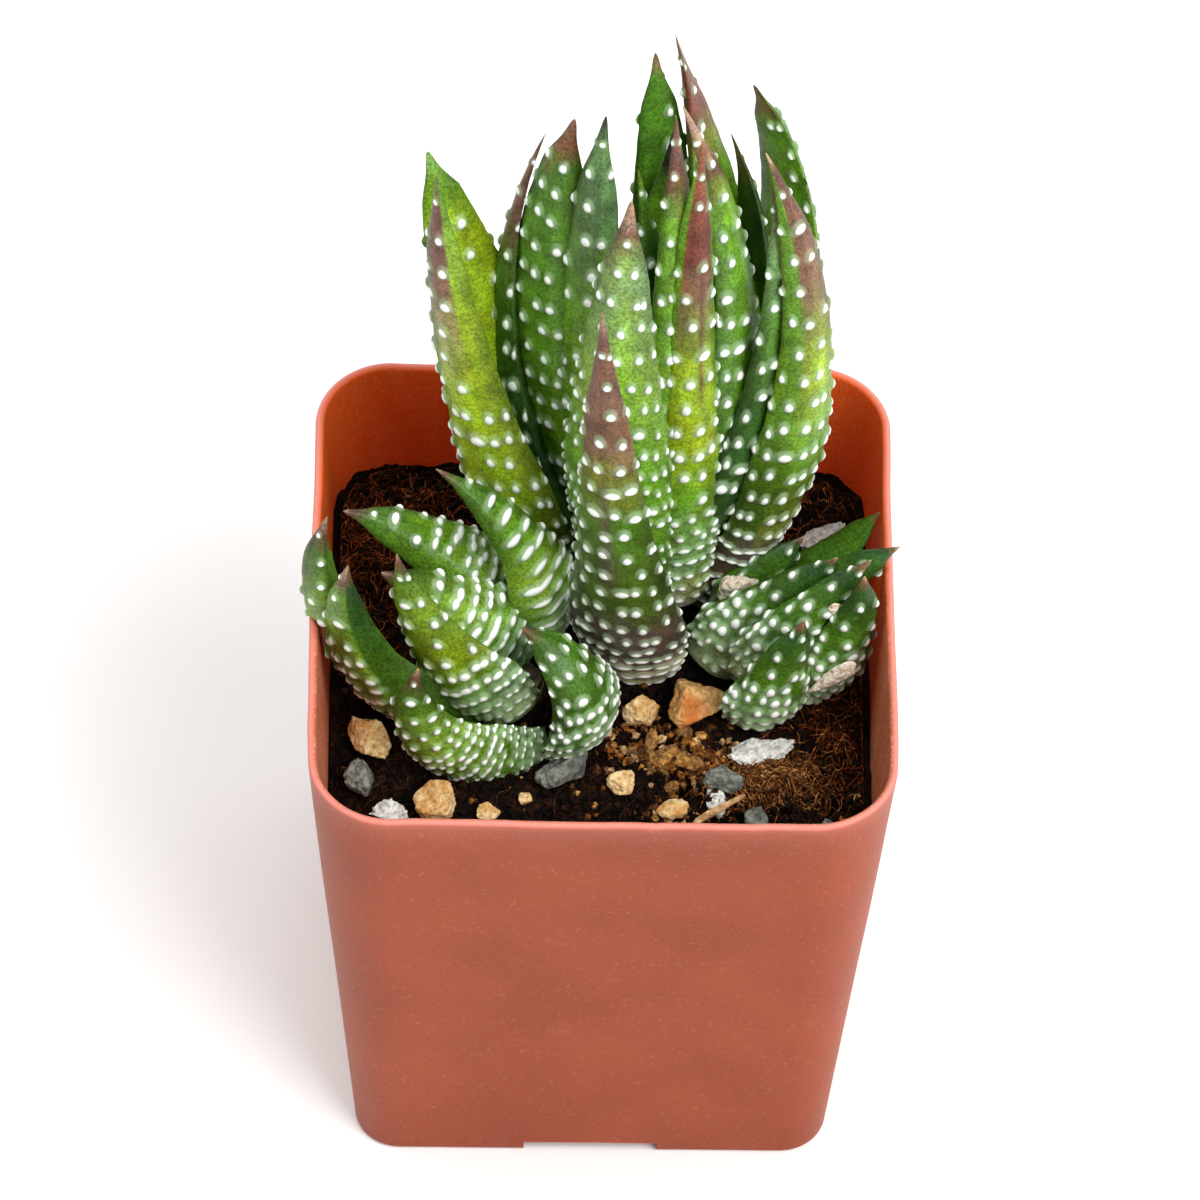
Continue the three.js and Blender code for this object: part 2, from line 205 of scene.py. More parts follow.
# %% Helpers for meshes
def tube_faces(rows, columns, first=0):
    """Quads of a grid that closes round its columns. Row i, column j is point i · columns + j."""
    i, j = np.meshgrid(np.arange(rows - 1), np.arange(columns), indexing="ij")
    a, b = i * columns + j, i * columns + (j + 1) % columns
    return first + np.stack([a, b, b + columns, a + columns], -1).reshape(-1, 4)


def fan_faces(ring, pole, flip=False):
    """Triangles from each edge of a ring of point numbers to the pole."""
    after = np.roll(ring, -1)
    pair = (after, ring) if flip else (ring, after)
    return np.stack([*pair, np.full(len(ring), pole)], -1)


def capped(points):
    """Points [rows, columns, 3] with a middle point for each end, and the closed skin's faces."""
    rows, columns = points.shape[:2]
    ends = points[[0, -1]].mean(axis=1)
    every = np.concatenate([points.reshape(-1, 3), ends])
    ring = np.arange(columns)
    faces = [
        tube_faces(rows, columns),
        fan_faces(ring, rows * columns, flip=True),
        fan_faces(ring + (rows - 1) * columns, rows * columns + 1),
    ]
    return every, faces


def piece(name, points, faces, material, slot, nodes=(), attributes=None, flat=False):
    """Makes one object from points in mm and lists of faces, with its finish, body and nodes."""
    mesh = bpy.data.meshes.new(name)
    corners = np.concatenate([f.ravel() for f in faces])
    sizes = np.concatenate([np.full(len(f), f.shape[1]) for f in faces])
    mesh.vertices.add(len(points))
    mesh.vertices.foreach_set("co", (points * MM).astype(np.float32).ravel())
    mesh.loops.add(len(corners))
    mesh.loops.foreach_set("vertex_index", corners.astype(np.int32))
    mesh.polygons.add(len(sizes))
    starts = np.concatenate([[0], np.cumsum(sizes)[:-1]])
    mesh.polygons.foreach_set("loop_start", starts.astype(np.int32))
    mesh.update(calc_edges=True)
    mesh.validate()
    mesh.polygons.foreach_set("use_smooth", np.full(len(mesh.polygons), not flat))
    for key, values in (attributes or {}).items():
        if values.ndim == 1:
            layer = mesh.attributes.new(key, "FLOAT", "POINT")
            layer.data.foreach_set("value", values.astype(np.float32))
        else:
            layer = mesh.attributes.new(key, "FLOAT_COLOR", "POINT")
            rgba = np.concatenate([values, np.ones((len(values), 1))], axis=1)
            layer.data.foreach_set("color", rgba.astype(np.float32).ravel())
    mesh.materials.append(material)
    new = bpy.data.objects.new(name, mesh)
    bpy.context.scene.collection.objects.link(new)
    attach(new, "root")
    if nodes:
        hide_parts(*nodes)
    return new


# %% [markdown]
# ## The pot
#
# The pot is injection-moulded polypropylene: 0.8 mm walls, a taper so that pots stack,
# rounded corners and a plain rim. It could be a box with bevelled edges, but a moulded pot
# is easier to say as a profile carried round a rounded square. The profile runs up the
# outside, over the rounded rim, down the inside and across the floor.
#
# The shallow cross channel under the floor and the drain holes are cut afterwards with a
# Boolean, because they break the profile's symmetry.

# %% Pot outline
POT_HEIGHT, WALL, FLOOR_TOP = 60.0, 0.8, 2.5
TOP_HALF, TOP_CORNER = 27.5, 7.5
FOOT_HALF, FOOT_CORNER = 23.0, 4.5
SIDE_STEPS, CORNER_STEPS = 26, 22
SHARPEST_CORNER = 0.05  # radius that is left where the inset takes up a whole corner


def rounded_square(half, corner):
    """Anticlockwise outline [..., columns, 2]: four arcs of the corner radius, joined straight."""
    half, corner = np.asarray(half)[..., None], np.asarray(corner)[..., None]
    arc = np.radians(np.linspace(0, 90, CORNER_STEPS + 1))
    run = np.linspace(-1, 1, SIDE_STEPS + 1)[1:-1]
    x = np.concatenate([half - corner + corner * np.cos(arc), -run * (half - corner)], -1)
    y = np.concatenate([half - corner + corner * np.sin(arc), half + 0 * run], -1)
    quarters = [(x, y), (-y, x), (-x, -y), (y, -x)]
    return np.concatenate([np.stack(q, -1) for q in quarters], -2)


def pot_outline(z, inset):
    """The pot's outline at height z, moved inwards by inset, as [rows, columns, 3].

    The half width and the corner radius run in a straight line from the foot to the top.
    """
    z, inset = np.asarray(z, float), np.asarray(inset, float)
    half = FOOT_HALF + (TOP_HALF - FOOT_HALF) * z / POT_HEIGHT - inset
    corner = FOOT_CORNER + (TOP_CORNER - FOOT_CORNER) * z / POT_HEIGHT - inset
    flat = rounded_square(half, np.maximum(corner, SHARPEST_CORNER))
    return np.concatenate([flat, np.broadcast_to(z[:, None, None], (*flat.shape[:2], 1))], -1)


# %% Pot profile
FOOT_ROUND, RIM_ROUND = 0.5, WALL / 2
FOOT_STEPS, OUTSIDE_STEPS, RIM_STEPS, INSIDE_STEPS, FLOOR_STEPS = 6, 34, 11, 26, 5
WALL_LOW, WALL_HIGH = 1.5, POT_HEIGHT - 1.2  # heights between which the outside is straight
FLOOR_MIDDLE = 20  # inset of the last row of the floor, which the cap closes
foot_turn = np.radians(np.linspace(0, 90, FOOT_STEPS))
rim_turn = np.radians(np.linspace(0, 180, RIM_STEPS))
profile = np.concatenate([  # rows of (inset from the outline, height)
    np.stack([FOOT_ROUND * (1 - np.sin(foot_turn)), FOOT_ROUND * (1 - np.cos(foot_turn))], -1),
    np.stack([np.zeros(OUTSIDE_STEPS), np.linspace(WALL_LOW, WALL_HIGH, OUTSIDE_STEPS)], -1),
    np.stack([RIM_ROUND * (1 - np.cos(rim_turn)),
              POT_HEIGHT - RIM_ROUND + RIM_ROUND * np.sin(rim_turn)], -1),
    np.stack([np.full(INSIDE_STEPS, WALL),
              np.linspace(WALL_HIGH, FLOOR_TOP + 1.6, INSIDE_STEPS)], -1),
    np.array([[WALL + 0.15, FLOOR_TOP + 0.7], [WALL + 0.5, FLOOR_TOP + 0.2]]),  # a round corner
    np.stack([np.linspace(WALL + 1.1, FLOOR_MIDDLE, FLOOR_STEPS),
              np.full(FLOOR_STEPS, FLOOR_TOP)], -1),
])
pot_points = pot_outline(profile[:, 1], profile[:, 0])

# Thin walls are never quite true: they wave in and out by about 0.15 mm, more towards the
# top, and the rim goes up and down a little.
WALL_WAVE, RIM_WAVE, RIM_EXCESS = 0.16, 0.12, 0.1
wave = WALL_WAVE * fractal(pot_points * [0.07, 0.07, 0.03], seed=3, octaves=3)
pot_points[..., :2] *= 1 + (wave * smooth(15, 60, pot_points[..., 2]) / TOP_HALF)[..., None]
rim_wave = RIM_WAVE * fractal(pot_points * 0.12, seed=5, octaves=3)
pot_points[..., 2] += rim_wave * smooth(50, 60, pot_points[..., 2])
pot_points[..., 2] = np.clip(pot_points[..., 2], 0, POT_HEIGHT + RIM_EXCESS)

# The mould has left a few small burrs on the front rim.
BURRS = (-19.8, -14.4, 4.6, 13.6)  # their places along the rim
BURR_WIDTH, BURR_OUT, BURR_UP = 0.45, 0.16, 0.12
in_front = (pot_points[..., 1] < -0.9 * TOP_HALF) & (pot_points[..., 2] > POT_HEIGHT - 0.6)
burr = sum(np.exp(-((pot_points[..., 0] - x) / BURR_WIDTH) ** 2) for x in BURRS) * in_front
pot_points[..., 1] -= BURR_OUT * burr
pot_points[..., 2] += BURR_UP * burr

# Two shares tell the material where the rim and the inside are, counted in rows. The rim
# gets a painted highlight, and the inside a painted glow.
RIM_MIDDLE, RIM_SPREAD, INSIDE_BLEND = 3.5, 3.2, 2
rim_row = FOOT_STEPS + OUTSIDE_STEPS
inner_row = rim_row + (RIM_STEPS + 1) // 2
row_number = np.arange(len(profile))
at_rim = np.exp(-((row_number - rim_row - RIM_MIDDLE) / RIM_SPREAD) ** 2)
at_inside = smooth(inner_row - INSIDE_BLEND, inner_row + INSIDE_BLEND, row_number)
print("pot profile:", len(profile), "steps, carried round", pot_points.shape[1], "points")

# %% [markdown]
# ### Terracotta-coloured polypropylene
#
# The pigment gives a dull orange-red. Polypropylene leaves the mould with a faint matt
# grain, so the highlight is broad, and the wall scatters a little light inside. The colour
# is slightly cloudy where the pigment has mixed unevenly, and handling leaves fine pale
# scuffs and specks. Noise at real sizes draws these: clouds of about 12 mm, scuffs of 6 mm,
# and specks of 0.4 mm, which also give the moulded grain in the bump. The inside has
# upright rub marks of 2.4 mm and dust of 0.3 mm. The rim's top is painted paler, a painted
# highlight. The inside is painted a brighter, more saturated orange than the outside, a
# painted glow of light between the walls, strongest at the back and duller towards the front.

# %% Pot material
polypropylene, tree, surface = new_material("terracotta_polypropylene_moulded", {
    "IOR": 1.49, "Specular IOR Level": 0.18, "Subsurface Weight": 0.5,
    "Subsurface Radius": (1.0, 0.2, 0.08), "Subsurface Scale": 1.6 * MM})
place = add(tree, "ShaderNodeTexCoord").outputs["Object"]
clouds = add(tree, "ShaderNodeTexNoise", {"Vector": place, "Scale": 85, "Detail": 3})
cloud_share = add(tree, "ShaderNodeMapRange",
                  {"Value": clouds.outputs[0], "From Min": 0.35, "From Max": 0.65})
outer = add(tree, "ShaderNodeMix",
            {FACTOR: cloud_share.outputs[0], COLOUR_A: linear("#8C3C1E"),
             COLOUR_B: linear("#964426")}, data_type="RGBA").outputs[MIXED]
inside = add(tree, "ShaderNodeAttribute", attribute_name="inside").outputs["Fac"]
rim = add(tree, "ShaderNodeAttribute", attribute_name="rim").outputs["Fac"]
depth = add(tree, "ShaderNodeSeparateXYZ", {0: place}).outputs["Y"]
# Share towards the front: it dims the inside's painted glow and brings out more rub marks.
worn = add(tree, "ShaderNodeMapRange", {
    "Value": depth, "From Min": 8 * MM, "From Max": -10 * MM}, interpolation_type="SMOOTHSTEP")
# The inside's bright orange at the back and duller orange at the front are a painted glow.
inner = add(tree, "ShaderNodeMix",
            {FACTOR: worn.outputs[0], COLOUR_A: linear("#E25E18"), COLOUR_B: linear("#B05A38")},
            data_type="RGBA").outputs[MIXED]
pigment = add(tree, "ShaderNodeMix", {FACTOR: inside, COLOUR_A: outer, COLOUR_B: inner},
              data_type="RGBA").outputs[MIXED]
# The paler rim colour is a painted highlight on the rim's top.
pigment = add(tree, "ShaderNodeMix", {FACTOR: rim, COLOUR_A: pigment, COLOUR_B: linear("#DC8A7C")},
              data_type="RGBA").outputs[MIXED]
specks = add(tree, "ShaderNodeTexNoise", {"Vector": place, "Scale": 2400, "Detail": 2})
speck_share = add(tree, "ShaderNodeMapRange", {
    "Value": specks.outputs[0], "From Min": 0.6, "From Max": 0.74, "To Max": 0.22})
pigment = add(tree, "ShaderNodeMix",
              {FACTOR: speck_share.outputs[0], COLOUR_A: pigment, COLOUR_B: linear("#D08A66")},
              data_type="RGBA").outputs[MIXED]
scuff_area = add(tree, "ShaderNodeTexNoise",
                 {"Vector": place, "Scale": 160, "Detail": 5, "Roughness": 0.7})
scuff_share = add(tree, "ShaderNodeMapRange", {
    "Value": scuff_area.outputs[0], "From Min": 0.62, "From Max": 0.78, "To Max": 0.22})
pigment = add(tree, "ShaderNodeMix",
              {FACTOR: scuff_share.outputs[0], COLOUR_A: pigment, COLOUR_B: linear("#C88060")},
              data_type="RGBA").outputs[MIXED]
upright = add(tree, "ShaderNodeMapping", {"Vector": place, "Scale": (1, 1, 0.2)})
rubs = add(tree, "ShaderNodeTexNoise", {
    "Vector": upright.outputs[0], "Scale": 420, "Detail": 4, "Roughness": 0.65})
rub_share = add(tree, "ShaderNodeMapRange", {
    "Value": rubs.outputs[0], "From Min": 0.5, "From Max": 0.74, "To Max": 0.4})
dust = add(tree, "ShaderNodeTexNoise", {"Vector": place, "Scale": 3400, "Detail": 1})
dust_share = add(tree, "ShaderNodeMapRange", {
    "Value": dust.outputs[0], "From Min": 0.54, "From Max": 0.62, "To Max": 0.5})
marks = add(tree, "ShaderNodeMath", {
    0: rub_share.outputs[0], 1: dust_share.outputs[0]}, operation="MAXIMUM")
marks = add(tree, "ShaderNodeMath", {0: marks.outputs[0], 1: inside}, operation="MULTIPLY")
worn_more = add(tree, "ShaderNodeMapRange", {"Value": worn.outputs[0], "To Min": 0.3})
marks = add(tree, "ShaderNodeMath", {
    0: marks.outputs[0], 1: worn_more.outputs[0]}, operation="MULTIPLY")
pigment = add(tree, "ShaderNodeMix",
              {FACTOR: marks.outputs[0], COLOUR_A: pigment, COLOUR_B: linear("#E4AA94")},
              data_type="RGBA").outputs[MIXED]
tree.links.new(pigment, surface.inputs["Base Color"])
gloss = add(tree, "ShaderNodeMapRange", {"Value": clouds.outputs[0], "To Min": 0.4, "To Max": 0.52})
tree.links.new(gloss.outputs[0], surface.inputs["Roughness"])
grain = add(tree, "ShaderNodeBump",
            {"Height": specks.outputs[0], "Strength": 0.12, "Distance": 0.1 * MM})
tree.links.new(grain.outputs[0], surface.inputs["Normal"])

# %% The pot piece
points, faces = capped(pot_points)
columns = pot_points.shape[1]
places = {key: np.append(np.repeat(share, columns), [0, share[-1]])
          for key, share in (("rim", at_rim), ("inside", at_inside))}
pot = piece("pot_body", points, faces, polypropylene, "pot", nodes=["pot"], attributes=places)

# %% Channels and drain holes
NOTCH_WIDTH, NOTCH_HEIGHT = 13, 1.5
DRAIN_RADIUS, DRAIN_RING, DRAIN_SIDES, DRAIN_TOP = 3, 17, 32, 4
UNDER_POT, PAST_WALL = -1, 40  # where the cutters end, below and beside the pot
SHARP_ANGLE = 35  # degrees, past which an edge is drawn sharp


def cutter(name, outline, high):
    """A prism over an outline of points in mm, from under the pot up to `high`, for a Boolean."""
    rings = [np.concatenate([outline, np.full((len(outline), 1), z)], -1)
             for z in (UNDER_POT, high)]
    every, skin = capped(np.stack(rings))
    mesh = bpy.data.meshes.new(name)
    mesh.from_pydata((every * MM).tolist(), [], [f.tolist() for group in skin for f in group])
    return bpy.data.objects.new(name, mesh)


side = NOTCH_WIDTH / 2
quarter_turn = np.array([[0, -1], [1, 0]])
arm = np.array([[PAST_WALL, -side], [PAST_WALL, side], [side, side]], float)
cross = np.concatenate([arm @ np.linalg.matrix_power(quarter_turn, -k) for k in range(4)])
turn = 2 * math.pi * (np.arange(DRAIN_SIDES) + 0.5) / DRAIN_SIDES
ring = DRAIN_RADIUS * np.stack([np.cos(turn), np.sin(turn)], -1)
drains = [(0, 0)] + [(DRAIN_RING * math.cos(a), DRAIN_RING * math.sin(a))
                     for a in (k * math.pi / 2 for k in range(4))]
# The holes go first. The channels are one cross, because two boxes whose tops lie in one
# plane leave scraps behind.
cutters = [cutter(f"drain_{number}", ring + at, DRAIN_TOP) for number, at in enumerate(drains)]
cutters.append(cutter("cross_channel", cross, NOTCH_HEIGHT))
for tool in cutters:
    bpy.context.scene.collection.objects.link(tool)
    cut = pot.modifiers.new(tool.name, "BOOLEAN")
    cut.operation, cut.solver, cut.object = "DIFFERENCE", "EXACT", tool
evaluated = pot.evaluated_get(bpy.context.evaluated_depsgraph_get())
finished = bpy.data.meshes.new_from_object(evaluated)
pot.modifiers.clear()
pot.data = finished
pot.data.set_sharp_from_angle(angle=math.radians(SHARP_ANGLE))
for tool in cutters:
    bpy.data.objects.remove(tool)
print("pot:", len(pot.data.polygons), "faces after the channels and drain holes are cut")

# %% [markdown]
# ## The potting mix
#
# The mix is coir, the brown fibre of coconut husk, with crumbs of bark and a few stones.
# Its top is 13 mm under the rim and anything but flat: clods of 4 to 12 mm, crumbs of 1 mm
# and black gaps between them. A flat disc with a bump map would give itself away at the
# pot's wall, so the surface is a fine grid whose height is a sum of domes, waves and noise
# of those sizes. It calms down under each plant and stone.

# %% Where the plants and stones are
# For each rosette: place on the mix, lean and its direction in degrees, and the centre and
# radius of the calm mix.
ROSETTES = {
    "main": ((4, 9), 8, 95, (4, 8), 12),
    "left": ((-8, -2), 0, 0, (-13, -4), 13),
    "right": ((14.5, 1.5), 0, 0, (18, 2), 9),
}
STONES = [  # node, place, size, turn
    ("pumice_01", (8.8, -4.6), (6.2, 5.4, 4.2), 20),
    ("pumice_02", (4.0, -5.2), (3.6, 3.4, 2.8), 80),
    ("pumice_03", (-21.6, -9.2), (3.9, 5.6, 3.4), 15),
    ("pumice_04", (-15.2, -16.2), (4.2, 4.0, 3.0), 40),
    ("pumice_05", (2.2, -13.4), (2.8, 2.6, 2.0), 0),
    ("pumice_06", (6.6, -16.6), (3.0, 2.0, 1.8), 10),
    ("grit_01", (-22.6, -13.4), (3.0, 3.4, 2.4), 0),
    ("grit_02", (-3.4, -12.0), (5.6, 4.2, 2.2), 25),
    ("grit_03", (11.6, -12.8), (3.2, 3.6, 2.0), 60),
    ("flake_01", (15.0, -9.4), (7.0, 3.6, 1.4), 12),
    ("flake_02", (21.6, 15.4), (5.0, 4.0, 1.6), 30),
    ("flake_03", (-19.8, -17.6), (2.6, 3.6, 1.6), 70),
]
SOIL_LEVEL = 47.0
CLODS = [  # place, half sizes and height of the larger clods of coir
    ((15.6, -12.4), (4.6, 2.6), 1.9), ((22.4, -7.0), (2.6, 4.0), 1.5),
    ((18.6, -17.4), (3.4, 2.2), 1.0),
    ((-19.0, 19.0), (6.0, 4.0), 1.6), ((-14.5, 15.0), (4.0, 4.4), 1.7),
    ((-22.0, 12.0), (3.0, 4.6), 1.2),
    ((-21.0, -5.0), (3.2, 3.0), 0.9), ((-16.8, -19.8), (4.6, 2.2), 0.8),
    ((7.6, -9.6), (4.0, 1.8), 1.0),
    ((1.6, -8.4), (3.4, 2.0), 0.8), ((21.0, 20.0), (4.0, 4.0), 1.2),
    ((12.8, -20.6), (3.0, 1.8), 0.7),
]

# %% Height of the mix
PIT, PIT_RADIUS, PIT_DEPTH = (7.4, -12.7), 1.5, 2.2
HOLLOW_DEPTH, CRUMB_HEIGHT = 1.3, 1.5
PATCH_EDGE = 2.5  # mm over which a calm patch turns rough
WALL_NEAR, WALL_AT = 21, 25  # mm from the middle, between which the mix calms down


def rough_share(x, y):
    """0 on the calm patch of a plant or a stone, rising to 1 within PATCH_EDGE of its edge."""
    patches = [(centre, radius) for _, _, _, centre, radius in ROSETTES.values()]
    patches += [(at, max(size[:2]) / 2) for _, at, size, _ in STONES]
    return np.min([smooth(r, r + PATCH_EDGE, np.hypot(x - c[0], y - c[1])) for c, r in patches],
                  axis=0)


def soil_height(x, y):
    """The level, less hollows made of three sines and one pit, plus clods and crumbs.

    A clod is a dome. Crumbs are the noise's distance from zero, in cells of 1.8 to 0.1 mm.
    """
    rough = rough_share(x, y)
    waves = np.sin(1.3 * x + 0.7 * y) + np.sin(0.9 * y - 1.7 * x + 2) + np.sin(2.1 * y + 0.4 * x)
    height = SOIL_LEVEL - HOLLOW_DEPTH * rough * (0.5 + waves / 6)
    flat = np.stack([x, y, 0 * x], -1)
    for centre, half, rise in CLODS:
        distance = np.hypot((x - centre[0]) / half[0], (y - centre[1]) / half[1])
        height += rise * (0.35 + 0.65 * rough) * (1 - smooth(0.2, 1.1, distance))
    height -= PIT_DEPTH * np.exp(-((x - PIT[0]) ** 2 + (y - PIT[1]) ** 2) / PIT_RADIUS ** 2)
    crumbs = np.abs(fractal(flat * 0.55, seed=11, octaves=5, fade=0.62))
    at_wall = smooth(WALL_NEAR, WALL_AT, np.maximum(np.abs(x), np.abs(y)))
    calm = (0.25 + 0.75 * rough) * (1 - 0.7 * at_wall)
    return height + calm * (CRUMB_HEIGHT * crumbs - CRUMB_HEIGHT / 2)


# %% Surface of the mix
SOIL_ROWS, SOIL_COLUMNS, SOIL_INSET = 104, 760, WALL + 0.04
SOIL_FOOT = FLOOR_TOP + 0.05
# Depth of the last ring of the side, and its width between the foot's, 0, and the top's, 1.
SHOULDER, SHOULDER_SHARE = 2.4, 0.95
edge = pot_outline([SOIL_LEVEL], [SOIL_INSET])[0, :, :2]
around = np.linspace(0, len(edge), SOIL_COLUMNS, endpoint=False)
closed = np.concatenate([edge, edge[:1]])
edge = np.stack([np.interp(around, np.arange(len(closed)), closed[:, k]) for k in (0, 1)], -1)
share = np.linspace(1, 1 / SOIL_ROWS, SOIL_ROWS)[:, None]
soil_x, soil_y = share * edge[:, 0], share * edge[:, 1]
soil_top = np.stack([soil_x, soil_y, soil_height(soil_x, soil_y)], -1)
foot = pot_outline([SOIL_FOOT], [SOIL_INSET])[0]
foot_edge = edge * (foot[:, 0].max() / edge[:, 0].max())
sides = [np.concatenate([foot_edge * (1 - k) + edge * k, np.full((len(edge), 1), z)], -1)
         for k, z in ((0, SOIL_FOOT), (SHOULDER_SHARE, SOIL_LEVEL - SHOULDER))]
soil_points, soil_faces = capped(np.concatenate([np.stack(sides), soil_top]))
print("mix: height from", round(soil_top[..., 2].min(), 2),
      "to", round(soil_top[..., 2].max(), 2), "mm")

# %% [markdown]
# ### Coir and bark fines
#
# Wet coir is nearly black in its gaps and rusty where fibres catch the light. It is fully
# matt. Colour here follows two noises: one of 4 mm for damp and dry patches, and one of
# 0.5 mm for single fibres and grains.

# %% Mix material
coir_mix, tree, surface = new_material("coir_potting_mix", {
    "Roughness": 0.92, "Specular IOR Level": 0.1})
place = add(tree, "ShaderNodeTexCoord").outputs["Object"]
patch = add(tree, "ShaderNodeTexNoise", {"Vector": place, "Scale": 260, "Detail": 3})
grains = add(tree, "ShaderNodeTexNoise",
             {"Vector": place, "Scale": 1900, "Detail": 4, "Roughness": 0.7})
patch_share = add(tree, "ShaderNodeMapRange",
                  {"Value": patch.outputs[0], "From Min": 0.42, "From Max": 0.64})
grain_share = add(tree, "ShaderNodeMapRange",
                  {"Value": grains.outputs[0], "From Min": 0.45, "From Max": 0.72})
damp = add(tree, "ShaderNodeMix",
           {FACTOR: grain_share.outputs[0], COLOUR_A: linear("#050302"),
            COLOUR_B: linear("#1C100A")}, data_type="RGBA").outputs[MIXED]
dry = add(tree, "ShaderNodeMix",
          {FACTOR: grain_share.outputs[0], COLOUR_A: linear("#0E0603"),
           COLOUR_B: linear("#4A2410")}, data_type="RGBA").outputs[MIXED]
tree.links.new(add(tree, "ShaderNodeMix",
                   {FACTOR: patch_share.outputs[0], COLOUR_A: damp, COLOUR_B: dry},
                   data_type="RGBA").outputs[MIXED], surface.inputs["Base Color"])
bump = add(tree, "ShaderNodeBump",
           {"Height": grains.outputs[0], "Strength": 0.8, "Distance": 0.4 * MM})
tree.links.new(bump.outputs[0], surface.inputs["Normal"])
mix = piece("potting_mix_surface", soil_points, soil_faces, coir_mix, "potting_mix",
            nodes=["potting_mix"])
print("mix:", len(mix.data.polygons), "faces")

# %% [markdown]
# ## Fibres and crumbs
#
# What makes coir look like coir is its loose fibres, 0.1 to 0.3 mm thick in their middle
# and a few millimetres long, that curl out of the clods. Particle hair could grow them,
# but here each fibre is a small tube: a path that wanders by random turns and lies on the
# mix, with a ring of three points carried along it. All fibres of a bundle are worked out
# at once, and each one keeps its own colour.
#
# Crumbs are knobbly little lumps, a sphere's grid pushed in and out, repeated with a
# random size and turn.


# %% Fibres
MIX_HALF, MIX_CORNER, CRUMB_HALF = 24.9, 6.4, 24.3  # where fibres and crumbs may lie
FIBRE_STEPS, FIBRE_SIDES = 8, 3
FIBRE_ROUGHNESS = 0.12  # mm that a fibre's points go up and down


def hex_tones(text):
    """Linear colours of a list of hex values written one after another."""
    return np.array([linear(h) for h in text.split()])


def inside_pot(flat, half=MIX_HALF, corner=MIX_CORNER):
    """Moves places [..., 2] outside a rounded square to its edge, first at the sides."""
    flat = np.clip(flat, -half, half)
    over = np.maximum(np.abs(flat) - (half - corner), 0)
    reach = np.linalg.norm(over, axis=-1, keepdims=True)
    pull = np.where(reach > corner, corner / np.maximum(reach, 1e-9), 1)
    return np.where(over > 0, np.sign(flat) * (half - corner + over * pull), flat)


def repeated(faces, size, count):
    """The same faces for each of `count` copies that have `size` points each."""
    return (faces[None] + size * np.arange(count)[:, None, None]).reshape(-1, faces.shape[1])


def fibre_bundle(rng, count, centre, spread, length, radius, tones, lift=0.5):
    """Tubes whose heading is a running sum of random turns; a path hugs the mix plus a low arch.

    Gives the points and tones of every fibre, and the faces of one.
    """
    steps = FIBRE_STEPS
    at = inside_pot(centre + rng.normal(0, 1, (count, 2)) * spread)
    long = rng.uniform(0.45, 1, count) * length
    heading = rng.uniform(0, 2 * np.pi, (count, 1)) + np.cumsum(
        rng.normal(0, 0.42, (count, steps)), 1)
    heading += np.linspace(0, 1, steps) * rng.normal(0, 1.3, (count, 1))
    step = long[:, None] / (steps - 1)
    x = at[:, :1] + np.cumsum(np.cos(heading) * step, 1)
    y = at[:, 1:] + np.cumsum(np.sin(heading) * step, 1)
    x, y = np.moveaxis(inside_pot(np.stack([x, y], -1)), -1, 0)
    s = np.linspace(0, 1, steps)
    arch = rng.uniform(0.05, 1, (count, 1)) * lift * np.sin(np.pi * s)
    z = soil_height(x, y) + radius + arch + FIBRE_ROUGHNESS * rng.normal(0, 1, (count, steps))
    path = np.stack([x, y, z], -1)
    along = np.gradient(path, axis=1)
    along /= np.linalg.norm(along, axis=-1, keepdims=True)
    across = np.cross(along, [0, 0, 1])
    across /= np.linalg.norm(across, axis=-1, keepdims=True) + 1e-9
    up = np.cross(across, along)
    swell = 0.35 + 0.65 * np.sin(np.pi * (0.08 + 0.84 * s))  # thin at both ends
    thick = radius * rng.uniform(0.5, 1.2, (count, 1)) * swell
    turn = np.radians([0, 120, 240])[:, None]
    ring = np.cos(turn) * up[:, :, None] + np.sin(turn) * across[:, :, None]
    points = path[:, :, None] + thick[..., None, None] * ring
    shade = rng.uniform(0.25, 1.0, (count, 1)) ** 1.3 * tones[rng.integers(0, len(tones), count)]
    size = steps * FIBRE_SIDES
    ends = np.array([[2, 1, 0], [size - 3, size - 2, size - 1]])
    return (points.reshape(count, size, 3), np.repeat(shade[:, None], size, 1),
            [tube_faces(steps, FIBRE_SIDES), ends])


def strewn(name, lots, material, flat=False):
    """Joins lots of small skins that have the same faces to one piece."""
    points = np.concatenate([lot[0] for lot in lots])
    tones = np.concatenate([lot[1] for lot in lots])
    count, size = points.shape[:2]
    faces = [repeated(group, size, count) for group in lots[0][2]]
    piece(name, points.reshape(-1, 3), faces, material, "potting_mix",
          attributes={"tone": tones.reshape(-1, 3)}, flat=flat)
    print(name, "is made of", count, "skins")


# %% Fibre material
# Dull plant fibre, mottled in cells of 0.4 mm. The crumbs have the same finish.
fibre_coat, tree, surface = new_material("coir_fibre", {
    "Roughness": 0.8, "Specular IOR Level": 0.12})
tone = add(tree, "ShaderNodeAttribute", attribute_name="tone").outputs["Color"]
place = add(tree, "ShaderNodeTexCoord").outputs["Object"]
mottle = add(tree, "ShaderNodeTexNoise", {"Vector": place, "Scale": 2500, "Detail": 2})
mottle_share = add(tree, "ShaderNodeMapRange",
                   {"Value": mottle.outputs[0], "From Min": 0.35, "From Max": 0.7})
dark_tone = add(tree, "ShaderNodeMix", {FACTOR: 1.0, COLOUR_A: tone, COLOUR_B: linear("#8A6A50")},
                data_type="RGBA", blend_type="MULTIPLY").outputs[MIXED]
tree.links.new(add(tree, "ShaderNodeMix",
                   {FACTOR: mottle_share.outputs[0], COLOUR_A: dark_tone, COLOUR_B: tone},
                   data_type="RGBA").outputs[MIXED], surface.inputs["Base Color"])

